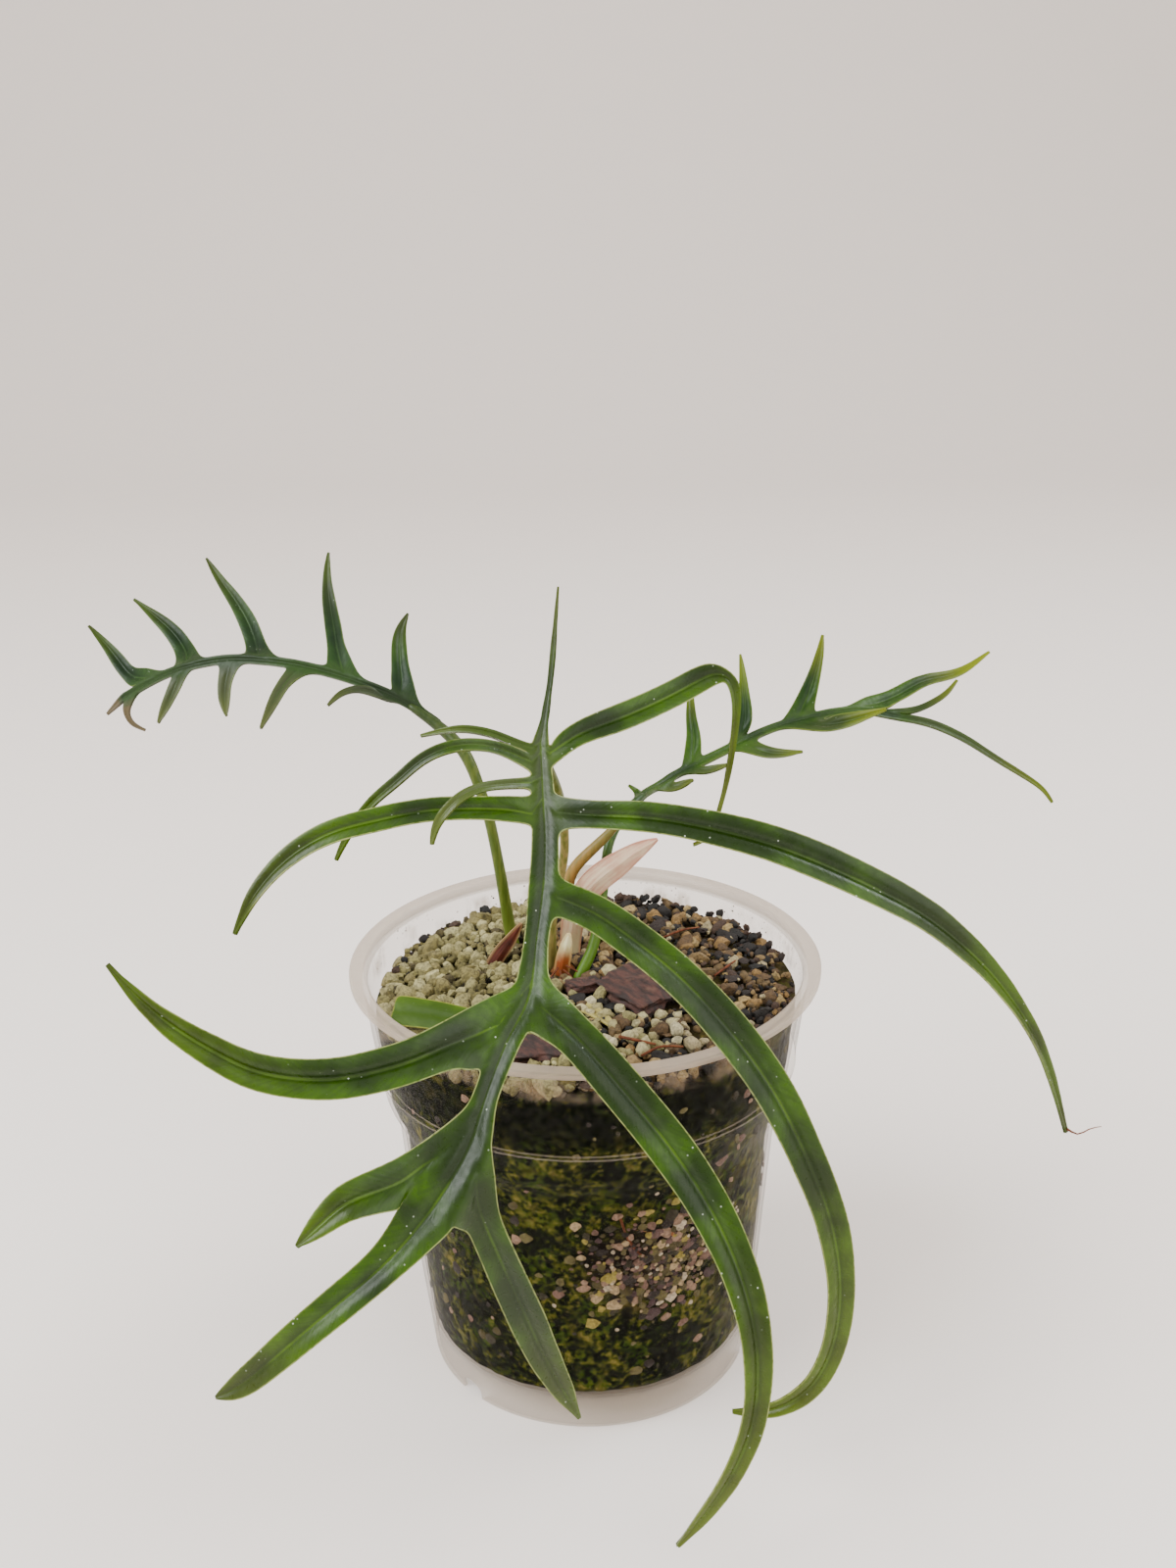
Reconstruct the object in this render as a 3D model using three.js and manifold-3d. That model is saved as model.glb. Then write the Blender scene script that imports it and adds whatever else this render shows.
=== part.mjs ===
// A potted philodendron tortum. Millimetres, +Z up, the origin at the centre of the pot's base.
// The front frond arches towards -Y and hangs over the rim. The two older fronds reach out behind.
import * as THREE from 'three';
import { mergeVertices } from 'three/addons/utils/BufferGeometryUtils.js';
import Module from 'manifold-3d';

const wasm = await Module();
wasm.setup();

// Driving dimensions of the pot
const POT_HEIGHT = 112;
const RIM_RADIUS = 60;
const BASE_RADIUS = 43;
const WALL = 0.9;
const FLOOR_HEIGHT = 9;
const FLOOR_THICKNESS = 1.1;
const POT_SIDES = 44;
const NOTCH_WIDTH = 7;
const NOTCH_HEIGHT = 4.5;
const NOTCH_ANGLES = [224, 344, 104];
const NOTCH_REACH = 8;
const DRAIN_RADIUS = 3;
const DRAIN_COUNT = 8;
const DRAIN_CIRCLE = 28;

// Clearance between touching pieces
const GAP = 0.3;

// Driving dimensions of the fill
const FILL_EDGE = 102.6;
const FILL_CROWN = 106.2;
const FILL_TILT = 1.8;
const FILL_TILT_ANGLE = 40;
const FILL_TOP_RADIUS = 55;
const FILL_WAVE = 0.35;
const PUMICE_DEPTH = 4;

// Driving dimensions of the leaves
const BLADE_THICKNESS = 0.7;
const LEAST_HALF_WIDTH = 0.35;
const ROW_STEP = 7;
const STALK_SIDES = 8;
const LEAST_ROW_STEP = 0.8;
const LOBE_RIB_SHARE = 0.45;
const ROOT_SETTLING = 1.6;
const STEPS_PER_STATION = 12;

// Materials

function finish(color, roughness, extra = {}) {
  return new THREE.MeshStandardMaterial({ color, roughness, metalness: 0, ...extra });
}

const FINISHES = {
  pot: finish(0xcfcac4, 0.3, { transparent: true, opacity: 0.35 }),
  soil: finish(0x2e2a20, 0.95),
  pumice: finish(0xbfb58c, 0.95),
  leaf: finish(0x2f5a22, 0.35),
  oldLeaf: finish(0x2b4f35, 0.4),
  root: finish(0x9c6a3c, 0.8),
  spear: finish(0xb09066, 0.5),
  sheath: finish(0xdab5a0, 0.5),
  oldSheath: finish(0xd9cf9a, 0.7),
  husk: finish(0x6e2c18, 0.9),
  cutLobe: finish(0x5d8f3c, 0.5),
  scrap: finish(0xa8a050, 0.7),
  bark: finish(0x5d4038, 0.9),
};

// Solids and meshes

function solidOf(geometry) {
  const bare = geometry.index ? geometry.toNonIndexed() : geometry.clone();
  for (const name of Object.keys(bare.attributes)) {
    if (name !== 'position') bare.deleteAttribute(name);
  }
  const merged = mergeVertices(bare, 1e-4);
  const triVerts = Uint32Array.from(merged.index.array);
  const vertProperties = Float32Array.from(merged.attributes.position.array);
  return new wasm.Manifold(new wasm.Mesh({ numProp: 3, vertProperties, triVerts }));
}

function geometryOf(solid) {
  const { vertProperties, triVerts } = solid.getMesh();
  const geometry = new THREE.BufferGeometry();
  geometry.setAttribute('position', new THREE.BufferAttribute(vertProperties, 3));
  geometry.setIndex(new THREE.BufferAttribute(triVerts, 1));
  geometry.computeVertexNormals();
  return geometry;
}

const plant = new THREE.Group();

function addPiece(name, solid, material) {
  const mesh = new THREE.Mesh(geometryOf(solid), material.clone());
  mesh.name = name;
  plant.add(mesh);
}

function joined(solids) {
  return solids.reduce((whole, solid) => whole.add(solid));
}

// The largest body of a solid, without loose scraps and sealed hollows.
function largest(solid) {
  return solid.decompose().reduce((best, part) => (part.volume() > best.volume() ? part : best));
}

function cut(solid, tools) {
  return tools.reduce((rest, tool) => rest.subtract(tool), solid);
}

// A seeded draw, so that the grains fall in the same places each time.
function makeRandom(seed) {
  let state = seed;
  return () => {
    state = (state * 1664525 + 1013904223) % 4294967296;
    return state / 4294967296;
  };
}

const radians = THREE.MathUtils.degToRad;
const smooth = (t) => THREE.MathUtils.smoothstep(t, 0, 1);

// A solid of revolution about Z from a closed profile of [radius, height] points.
function revolved(profile, sides) {
  const points = [...profile, profile[0]].map(([radius, height]) => new THREE.Vector2(radius, height));
  return solidOf(new THREE.LatheGeometry(points, sides).rotateX(Math.PI / 2));
}

// The pot: a thin wall with a rim flange, a step, a fine ring and a raised floor over an open skirt.

const OUTER_WALL = [
  [BASE_RADIUS, 0], [44.1, 10], [45.9, 26], [48.2, 55], [49.6, 72], [52.5, 78], [53.9, 85.2], [54.4, 86],
  [54.1, 86.8], [55.9, 102],
];

// Outer radius of the wall at a height.
function wallRadius(height) {
  for (let i = 1; i < OUTER_WALL.length; i++) {
    const [r0, z0] = OUTER_WALL[i - 1];
    const [r1, z1] = OUTER_WALL[i];
    if (height <= z1) return r0 + (r1 - r0) * (height - z0) / (z1 - z0);
  }
  return OUTER_WALL.at(-1)[0] + 0.1 * (height - OUTER_WALL.at(-1)[1]);
}

function potProfile() {
  const lip = [
    [56.9, POT_HEIGHT - 2.2], [RIM_RADIUS, POT_HEIGHT - 1.8], [RIM_RADIUS, POT_HEIGHT], [55.9, POT_HEIGHT],
  ];
  const innerWall = OUTER_WALL.filter(([, z]) => z > FLOOR_HEIGHT + 4 && (z < 82 || z > 90))
    .map(([r, z]) => [r - WALL, z]).reverse();
  const floorTop = FLOOR_HEIGHT + FLOOR_THICKNESS;
  const floorEdge = wallRadius(floorTop) - WALL;
  const floor = [[floorEdge, floorTop], [0, floorTop], [0, FLOOR_HEIGHT], [floorEdge, FLOOR_HEIGHT]];
  return [...OUTER_WALL, ...lip, ...innerWall, ...floor, [BASE_RADIUS - WALL, 0]];
}

function notch(angle) {
  const arch = new THREE.Shape();
  const half = NOTCH_WIDTH / 2;
  arch.moveTo(-half, -1);
  arch.lineTo(half, -1);
  arch.lineTo(half, NOTCH_HEIGHT / 2);
  arch.quadraticCurveTo(half, NOTCH_HEIGHT, 0, NOTCH_HEIGHT);
  arch.quadraticCurveTo(-half, NOTCH_HEIGHT, -half, NOTCH_HEIGHT / 2);
  const extent = { depth: NOTCH_REACH, bevelEnabled: false, curveSegments: 4 };
  const through = new THREE.ExtrudeGeometry(arch, extent);
  through.translate(0, 0, BASE_RADIUS - NOTCH_REACH / 2);
  return solidOf(through.rotateX(Math.PI / 2).rotateZ(radians(angle + 90)));
}

function drainHole(radius, angle, circle) {
  const hole = new THREE.CylinderGeometry(radius, radius, 6, 10).rotateX(Math.PI / 2);
  hole.translate(circle * Math.cos(angle), circle * Math.sin(angle), FLOOR_HEIGHT);
  return solidOf(hole);
}

function makePot() {
  const holes = NOTCH_ANGLES.map(notch);
  holes.push(drainHole(DRAIN_RADIUS + 1, 0, 0));
  for (let i = 0; i < DRAIN_COUNT; i++) {
    holes.push(drainHole(DRAIN_RADIUS, (i + 0.5) * 2 * Math.PI / DRAIN_COUNT, DRAIN_CIRCLE));
  }
  return cut(revolved(potProfile(), POT_SIDES), holes);
}

// A leaf is a sheet of quads with a midrib: a rachis strip whose side edges carry the lobes.
// Rows run along the travel direction, and columns across it, from the traveller's left to the right.

class Sheet {
  constructor() {
    this.points = [];
    this.above = [];
    this.below = [];
    this.quads = [];
  }

  addPoint(position, above, below) {
    this.points.push(position);
    this.above.push(above);
    this.below.push(below);
    return this.points.length - 1;
  }

  stitch(rowA, rowB) {
    for (let j = 0; j + 1 < rowA.length; j++) {
      this.quads.push([rowA[j], rowA[j + 1], rowB[j + 1], rowB[j]]);
    }
  }

  normals() {
    const sums = this.points.map(() => new THREE.Vector3());
    for (const [a, b, c, d] of this.quads) {
      const p = [a, b, c, d].map((i) => this.points[i]);
      const face = new THREE.Vector3().subVectors(p[2], p[0]).cross(new THREE.Vector3().subVectors(p[3], p[1]));
      for (const i of [a, b, c, d]) sums[i].add(face);
    }
    return sums.map((sum) => sum.normalize());
  }

  // The sheet with its thickness: both faces split along the same diagonals, and a rim round the edge.
  solid() {
    const normals = this.normals();
    const count = this.points.length;
    const positions = [];
    for (const [side, offsets] of [[1, this.above], [-1, this.below]]) {
      this.points.forEach((point, i) => {
        positions.push(...point.clone().addScaledVector(normals[i], side * offsets[i]).toArray());
      });
    }
    const index = [];
    const edges = new Map();
    for (const [a, b, c, d] of this.quads) {
      index.push(a, b, c, a, c, d);
      index.push(a + count, c + count, b + count, a + count, d + count, c + count);
      for (const [i, j] of [[a, b], [b, c], [c, d], [d, a]]) {
        if (edges.has(`${j},${i}`)) edges.delete(`${j},${i}`);
        else edges.set(`${i},${j}`, [i, j]);
      }
    }
    for (const [i, j] of edges.values()) {
      index.push(j, i, i + count, j, i + count, j + count);
    }
    const geometry = new THREE.BufferGeometry();
    geometry.setAttribute('position', new THREE.Float32BufferAttribute(positions, 3));
    geometry.setIndex(index);
    return solidOf(geometry);
  }
}

// A smooth line through [x, y, z, halfWidth] stations, read by the distance along it.
class Midline {
  constructor(stations) {
    this.stations = stations;
    this.curve = new THREE.CatmullRomCurve3(stations.map(([x, y, z]) => new THREE.Vector3(x, y, z)));
    const fine = STEPS_PER_STATION * (stations.length - 1);
    this.reach = [0];
    let last = this.curve.getPoint(0);
    for (let i = 1; i <= fine; i++) {
      const next = this.curve.getPoint(i / fine);
      this.reach.push(this.reach.at(-1) + next.distanceTo(last));
      last = next;
    }
    this.length = this.reach.at(-1);
  }

  // The curve's own parameter at a distance.
  parameter(distance) {
    const fine = this.reach.length - 1;
    let i = 1;
    while (i < fine && this.reach[i] < distance) i++;
    const share = (distance - this.reach[i - 1]) / (this.reach[i] - this.reach[i - 1]);
    return THREE.MathUtils.clamp((i - 1 + share) / fine, 0, 1);
  }

  at(distance) {
    const t = this.parameter(distance);
    const place = t * (this.stations.length - 1);
    const i = Math.min(Math.floor(place), this.stations.length - 2);
    const halfWidth = THREE.MathUtils.lerp(this.stations[i][3], this.stations[i + 1][3], smooth(place - i));
    return { point: this.curve.getPoint(t), travel: this.curve.getTangent(t), halfWidth };
  }
}

const vector = ([x, y, z]) => new THREE.Vector3(x, y, z);

// Facing square to the travel, part way from one facing to another.
function facingAt(from, to, share, travel) {
  const facing = from.clone().lerp(to, share);
  return facing.addScaledVector(travel, -facing.dot(travel)).normalize();
}

// One leaf blade: rachis stations, lobes with their root runs, and the fold of its wings.
class Blade {
  constructor({ rachis, facing, fold = 0.25, rib = 1.1, lobes = [] }, grow = 0) {
    this.sheet = new Sheet();
    this.fold = fold;
    this.rib = rib;
    this.grow = grow;
    this.line = new Midline(rachis);
    this.facings = facing.map(vector);
    this.layRachis(lobes);
    for (const lobe of lobes) this.growLobe(lobe);
  }

  // The blade is thickest at the midrib, on its underside.
  addColumn(point, across, rib) {
    const half = BLADE_THICKNESS / 2 + this.grow;
    return this.sheet.addPoint(point, half, half + rib * (1 - Math.abs(across)));
  }

  layRachis(lobes) {
    const marks = new Set([0, this.line.length]);
    for (const { root } of lobes.filter((lobe) => lobe.root)) {
      const [from, to] = [root[0], Math.min(root[1], this.line.length)];
      for (const mark of [from, (from + to) / 2, to]) marks.add(mark);
    }
    const sorted = [...marks].sort((a, b) => a - b);
    this.distances = [sorted[0]];
    for (const mark of sorted.slice(1)) {
      const last = this.distances.at(-1);
      if (mark - last < LEAST_ROW_STEP) continue;
      const extra = Math.floor((mark - last) / ROW_STEP);
      for (let k = 1; k <= extra; k++) this.distances.push(last + (mark - last) * k / (extra + 1));
      this.distances.push(mark);
    }
    this.rows = this.distances.map((distance, i) => {
      const { point, travel, halfWidth } = this.line.at(distance);
      if (i === 0) point.addScaledVector(travel, -this.grow);
      if (i === this.distances.length - 1) point.addScaledVector(travel, this.grow);
      const facing = facingAt(...this.facings, distance / this.line.length, travel);
      const right = travel.clone().cross(facing);
      return [-1, 0, 1].map((across) => {
        const place = point.clone().addScaledVector(right, across * (halfWidth + this.grow));
        place.addScaledVector(facing, this.fold * halfWidth * Math.abs(across));
        return this.addColumn(place, across, this.rib);
      });
    });
    for (let i = 1; i < this.rows.length; i++) this.sheet.stitch(this.rows[i - 1], this.rows[i]);
  }

  // The rachis points that a lobe grows from, from the traveller's left to the right on the lobe.
  rootRun({ side, root, end }) {
    if (end === 'tip') return this.rows.at(-1);
    if (end === 'base') return [...this.rows[0]].reverse();
    const near = (mark) => {
      const gaps = this.distances.map((distance) => Math.abs(distance - mark));
      return gaps.indexOf(Math.min(...gaps));
    };
    const column = side > 0 ? 2 : 0;
    const run = [];
    for (let i = near(root[0]); i <= near(root[1]); i++) run.push(this.rows[i][column]);
    return side > 0 ? run.reverse() : run;
  }

  growLobe(lobe) {
    const run = this.rootRun(lobe);
    const first = this.sheet.points[run[0]];
    const last = this.sheet.points[run.at(-1)];
    const centre = first.clone().lerp(last, 0.5);
    const rootHalf = first.distanceTo(last) / 2;
    const rootRight = last.clone().sub(first).normalize();
    const line = new Midline([[...centre.toArray(), rootHalf], ...lobe.path]);
    const middle = Math.round((run.length - 1) / 2);
    const across = run.map((_, j) => (j <= middle ? j / middle - 1 : (j - middle) / (run.length - 1 - middle)));
    const from = facingAt(...this.facings, lobe.along, new THREE.Vector3());
    const to = vector(lobe.facing);
    const count = Math.max(2, Math.round(line.length / ROW_STEP));
    let previous = run;
    for (let i = 1; i <= count; i++) {
      const distance = line.length * i / count;
      const { point, travel, halfWidth } = line.at(distance);
      const facing = facingAt(from, to, distance / line.length, travel);
      const settled = smooth(distance / (ROOT_SETTLING * rootHalf + 1));
      const right = rootRight.clone().lerp(travel.clone().cross(facing), settled).normalize();
      const half = Math.max(halfWidth, LEAST_HALF_WIDTH) + this.grow;
      const taper = 1 - distance / line.length;
      const row = across.map((u) => {
        const place = point.clone().addScaledVector(right, u * half);
        place.addScaledVector(facing, settled * this.fold * half * Math.abs(u));
        return this.addColumn(place, u, this.rib * LOBE_RIB_SHARE * taper);
      });
      this.sheet.stitch(previous, row);
      previous = row;
    }
  }
}

function sheetOf(form, grow = 0) {
  return new Blade(form, grow).sheet.solid();
}

// A round stalk along [x, y, z, radius] stations, closed at both ends.
function stalk(stations, grow = 0, sides = STALK_SIDES, step = ROW_STEP) {
  const line = new Midline(stations);
  const count = Math.max(2, Math.round(line.length / step));
  const positions = [];
  const index = [];
  let across = new THREE.Vector3(1, 0.2, 0.1);
  for (let i = 0; i <= count; i++) {
    const { point, travel, halfWidth } = line.at(line.length * i / count);
    across = facingAt(across, across, 0, travel);
    const other = travel.clone().cross(across);
    const place = i === 0 || i === count ? point.addScaledVector(travel, i ? grow : -grow) : point;
    for (let k = 0; k < sides; k++) {
      const angle = 2 * Math.PI * k / sides;
      const ring = place.clone().addScaledVector(across, Math.cos(angle) * (halfWidth + grow));
      positions.push(...ring.addScaledVector(other, Math.sin(angle) * (halfWidth + grow)).toArray());
      const next = (k + 1) % sides;
      if (i < count) {
        const [a, b] = [i * sides + k, i * sides + next];
        index.push(a, b, b + sides, a, b + sides, a + sides);
      }
    }
  }
  for (let k = 1; k + 1 < sides; k++) {
    const top = count * sides;
    index.push(0, k + 1, k, top, top + k, top + k + 1);
  }
  const geometry = new THREE.BufferGeometry();
  geometry.setAttribute('position', new THREE.Float32BufferAttribute(positions, 3));
  geometry.setIndex(index);
  return solidOf(geometry);
}

// The front frond. Its rachis runs from the petiole's knee down over the rim; side +1 is the photo's left.

const FRONT_PETIOLE = [
  [-9, 12, 93, 1.5], [-8.5, 9, 101, 1.5], [-9.5, 5, 117, 1.3], [-9, 2, 128, 1.2], [-7.5, -1, 138, 1.1],
  [-7, -5, 146, 1.1], [-7.5, -12, 160, 1.1], [-10, -22, 173.8, 1.1],
];

const FRONT_BLADE = {
  rachis: [
    [-9.5, -21, 177, 2], [-9, -28, 167, 2.6], [-8.5, -36, 158, 3.1], [-9, -43, 150, 3.3],
    [-10.5, -51, 141, 2.7],
    [-12, -60, 132, 3.6], [-17, -69, 125, 3], [-21, -76, 117, 2.7], [-25, -82, 107, 4.6],
    [-30, -86.5, 100, 5.4], [-33.5, -88.5, 95.5, 6],
  ],
  facing: [[0, -0.83, 0.56], [-0.1, -0.88, 0.45]],
  rib: 1.1,
  lobes: [
    // The spike that stands on the knee
    { end: 'base', along: 0, facing: [0, -1, 0.1],
      path: [[-9, -20, 179, 1.2], [-8.5, -18, 182, 0.9], [-7, -14, 190.5, 0.7], [-6, -10, 200, 0.5],
        [-5, -6, 210, 0.3]] },
    // Short upper pair on the left
    { side: 1, root: [0.5, 3], along: 0, facing: [0, -0.8, 0.6],
      path: [[-16.5, -21, 177.5, 0.9], [-20, -20.5, 179, 0.9], [-28, -19, 180, 0.9], [-37.5, -18, 178, 0.35]] },
    { side: 1, root: [3, 7], along: 0.05, facing: [-0.4, -0.7, 0.5],
      path: [[-19.5, -24, 177, 1.4], [-29, -27, 178.5, 1.5], [-36, -28, 176, 1.4], [-42, -29, 171, 1.3],
        [-48.5, -29, 165.5, 1.2], [-53.5, -29, 159, 1], [-57.5, -29, 151.5, 0.35]] },
    // Hooked narrow lobe
    { side: 1, root: [8.3, 11.1], along: 0.1, facing: [-0.4, -0.8, 0.4],
      path: [[-17, -31, 170.5, 1.1], [-22, -35, 171.5, 1.1], [-27, -38, 170.5, 1.2], [-31, -40, 167, 1.2],
        [-33.5, -40, 163, 1], [-34, -40, 159.5, 0.35]] },
    { side: 1, root: [13.2, 19.8], along: 0.15, facing: [-0.4, -0.75, 0.5],
      path: [[-24, -32, 165, 2.7], [-36, -33, 165, 2.8], [-47, -35, 163.5, 2.9], [-57, -37, 161.5, 2.8],
        [-65, -39, 157.5, 2.5], [-71, -41, 152.5, 2.1], [-75, -43, 147.5, 1.6], [-79, -44, 140, 0.4]] },
    { side: 1, root: [59, 79], along: 0.6, facing: [-0.15, -0.8, 0.55],
      path: [[-30, -72, 126, 4.9], [-36.5, -75, 124.5, 4.6], [-43, -77, 123.5, 4.6], [-52, -79.5, 123, 4.4],
        [-62, -80.5, 124, 4.1], [-70, -81, 126.5, 3.8], [-77, -80.5, 130.5, 3.3], [-83.5, -79.5, 134.5, 2.8],
        [-90.5, -78, 140, 1.8], [-98.5, -75, 148, 0.4]] },
    { side: 1, root: [88, 114], along: 0.85, facing: [-0.1, -0.75, 0.6],
      path: [[-38, -87, 103, 6], [-44, -89.5, 102, 4.5], [-50.5, -92.5, 101, 3.9], [-55, -94.5, 97.5, 2.8],
        [-60, -96, 93.5, 0.4]] },
    // Kinked upper lobe on the right, with its hanging end
    { side: -1, root: [1.5, 6], along: 0, facing: [0.1, -1, 0.3],
      path: [[-2, -20.5, 178, 2.8], [9, -17, 181.2, 3.3], [17.5, -13.5, 183.8, 3.2], [24.5, -10.5, 186.4, 3.2],
        [30, -9, 189, 3.1], [33.8, -9, 190, 2.5], [36.2, -10.5, 187, 1.6], [36.5, -12, 182, 1.2],
        [36, -13, 176, 1], [35, -14, 168, 0.7], [33, -14, 158, 0.5], [27.5, -13, 148.5, 0.35]] },
    { side: -1, root: [13.2, 21.5], along: 0.15, facing: [0.45, -0.7, 0.5],
      path: [[1, -33, 163.5, 3.2], [17, -36, 163.5, 3.6], [38, -40, 160, 4.1], [51, -41.5, 155.5, 4.3],
        [67, -43, 148, 4.1], [77, -43, 142, 3.7], [86.5, -43, 134, 3.3], [94, -42.5, 126, 2.7],
        [102.5, -42, 114, 1.9], [108.5, -41, 102, 1.4], [115, -40, 83, 0.5]] },
    { side: -1, root: [33, 41], along: 0.35, facing: [0.2, -0.85, 0.4],
      path: [[2.5, -46, 145, 4.1], [9.5, -49, 141, 4.3], [21, -53, 132.5, 4.4], [32.5, -57, 120.5, 4.6],
        [42, -60, 107, 4.5], [49.5, -63, 91.5, 4.1], [55.5, -65, 75, 3.8], [58, -66, 56, 3.2],
        [56, -65, 38, 2.9], [51, -64, 27.5, 2.6], [43, -63, 21.5, 1.8], [34, -62, 20.5, 0.5]] },
    { side: -1, root: [56.5, 67.5], along: 0.55, facing: [0.15, -0.85, 0.4],
      path: [[-2.5, -66, 125.5, 4.5], [8.5, -72, 114.5, 4.8], [18.5, -78, 103.5, 4.9], [26, -84, 93.5, 4.6],
        [32.5, -91, 80.5, 4], [35.5, -96, 67, 3.3], [35, -99, 51, 2.7], [31, -100, 38, 2.3],
        [25.5, -98.5, 25.5, 1.7], [19, -97, 14, 0.5]] },
    { side: -1, root: [94, 110], along: 0.9, facing: [0.15, -0.85, 0.45],
      path: [[-22, -86, 92, 3.7], [-19.5, -86, 84.5, 3.8], [-16.4, -84.5, 74, 4], [-13.5, -83, 64.5, 4.1],
        [-10.5, -80.5, 53.5, 3.7], [-6.8, -78, 42.5, 2.8], [-2.5, -75, 30.5, 0.5]] },
    // Terminal lobe
    { end: 'tip', along: 1, facing: [-0.2, -0.85, 0.5],
      path: [[-39, -91, 89.5, 4.6], [-44, -93, 85, 4], [-52, -95.5, 79, 3.9], [-60, -97, 72.5, 3.7],
        [-71, -97, 62, 3.2], [-75.5, -96.5, 58, 2.4], [-80, -96, 55.5, 0.4]] },
  ],
};

// The left frond. Side +1 holds the long upper lobes, side -1 the short lower ones.

const LEFT_PETIOLE = [
  [-16.5, 23, 93, 1.5], [-18.5, 22, 101, 1.4], [-20, 22, 108, 1.3], [-21.5, 22, 120, 1.3], [-23, 22, 131, 1.3],
  [-25, 22.5, 142.5, 1.3], [-27.5, 23.5, 151, 1.3], [-30.5, 26, 158, 1.3], [-35.5, 30, 162.5, 1.3],
  [-41, 32.5, 166.3, 1.2], [-46, 34, 169.3, 1.1],
];

const LEFT_BLADE = {
  rachis: [
    [-37.5, 31.5, 164.5, 1.2], [-44, 33.5, 168.5, 1.2], [-51.5, 36, 172, 1.2], [-59.5, 38.5, 174.5, 1.2],
    [-70, 41.5, 177, 1.3], [-80.5, 44, 178.5, 1.3], [-94.5, 47.5, 178.5, 1.3], [-106, 50.5, 176, 1.3],
    [-115.5, 54, 172, 1.3], [-127.5, 58, 165, 1.1],
  ],
  facing: [[-0.2, -0.75, 0.65], [-0.3, -0.75, 0.6]],
  rib: 1.1,
  lobes: [
    { side: 1, root: [7.5, 15.5], along: 0.1, facing: [0.3, -0.8, 0.5],
      path: [[-48, 40.5, 176.5, 2.4], [-48.5, 43.5, 180, 2.2], [-48.8, 47, 183.5, 2], [-48.3, 50, 186.5, 1.3],
        [-46.5, 51.5, 189.5, 0.35]] },
    { side: 1, root: [25, 34.5], along: 0.3, facing: [0, -0.8, 0.6],
      path: [[-65.5, 47, 180.5, 2.4], [-67.3, 55, 185, 2.3], [-69.3, 63, 190, 1.9], [-70.3, 68, 196, 1.2],
        [-70, 72, 202, 0.35]] },
    { side: 1, root: [49, 58.5], along: 0.55, facing: [0, -0.7, 0.7],
      path: [[-88, 52, 180.5, 2.7], [-91, 59, 185, 2.6], [-95.7, 66, 190, 2], [-101, 72, 195, 1.3],
        [-105, 76, 200, 0.35]] },
    { side: 1, root: [70.5, 79.5], along: 0.75, facing: [0, -0.65, 0.75],
      path: [[-109, 59, 177.5, 2.7], [-113, 64.5, 181, 2.5], [-118, 69, 184, 1.8], [-126, 74, 189, 0.35]] },
    { side: 1, root: [84.5, 93.5], along: 0.95, facing: [0, -0.65, 0.75],
      path: [[-126, 62, 170, 2.3], [-129.5, 65.5, 173, 2.1], [-134, 69.5, 177, 1.4], [-139, 72, 182, 0.35]] },
    { side: -1, root: [13.5, 17.5], along: 0.2, facing: [-0.1, -0.6, 0.75],
      path: [[-57.5, 34, 174, 1.1], [-62, 31, 174.3, 1], [-64.5, 29, 173, 0.8], [-66, 28, 171.3, 0.35]] },
    { side: -1, root: [38.5, 44.5], along: 0.5, facing: [-0.2, -0.6, 0.75],
      path: [[-78.5, 38.5, 174.5, 1.9], [-81, 32, 170.5, 1.6], [-83.5, 26, 166, 0.35]] },
    { side: -1, root: [58.5, 64.5], along: 0.7, facing: [-0.2, -0.6, 0.75],
      path: [[-95.5, 43.5, 173.5, 2.1], [-95, 38.5, 170, 1.7], [-94, 34, 167, 0.35]] },
    { side: -1, root: [74.5, 80], along: 0.85, facing: [-0.2, -0.6, 0.75],
      path: [[-111, 49.5, 169.5, 2], [-112.3, 45, 166.5, 1.6], [-114, 41, 163, 0.35]] },
    // The dried tip
    { end: 'tip', along: 1, facing: [-0.3, -0.75, 0.6],
      path: [[-129.3, 57, 163.3, 0.8], [-132, 56, 160.8, 0.35]] },
    { side: -1, root: [94, 98.5], along: 1, facing: [-0.5, -0.6, 0.6],
      path: [[-127, 55.3, 161.3, 0.9], [-125.7, 54.3, 158.7, 0.8], [-121, 53, 157, 0.35]] },
  ],
};

// The right frond. Its side -1 holds the upper lobes, side +1 the lower ones.

const RIGHT_PETIOLE = [
  [-5, 0, 93, 1.5], [-2, 0, 105, 1.5], [2, 4, 112, 1.4], [5, 11, 126, 1.3], [6.5, 17, 136, 1.2],
  [10, 22, 141, 1.2], [13, 26, 143.5, 1.2], [16.5, 31, 144.4, 1],
];

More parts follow.
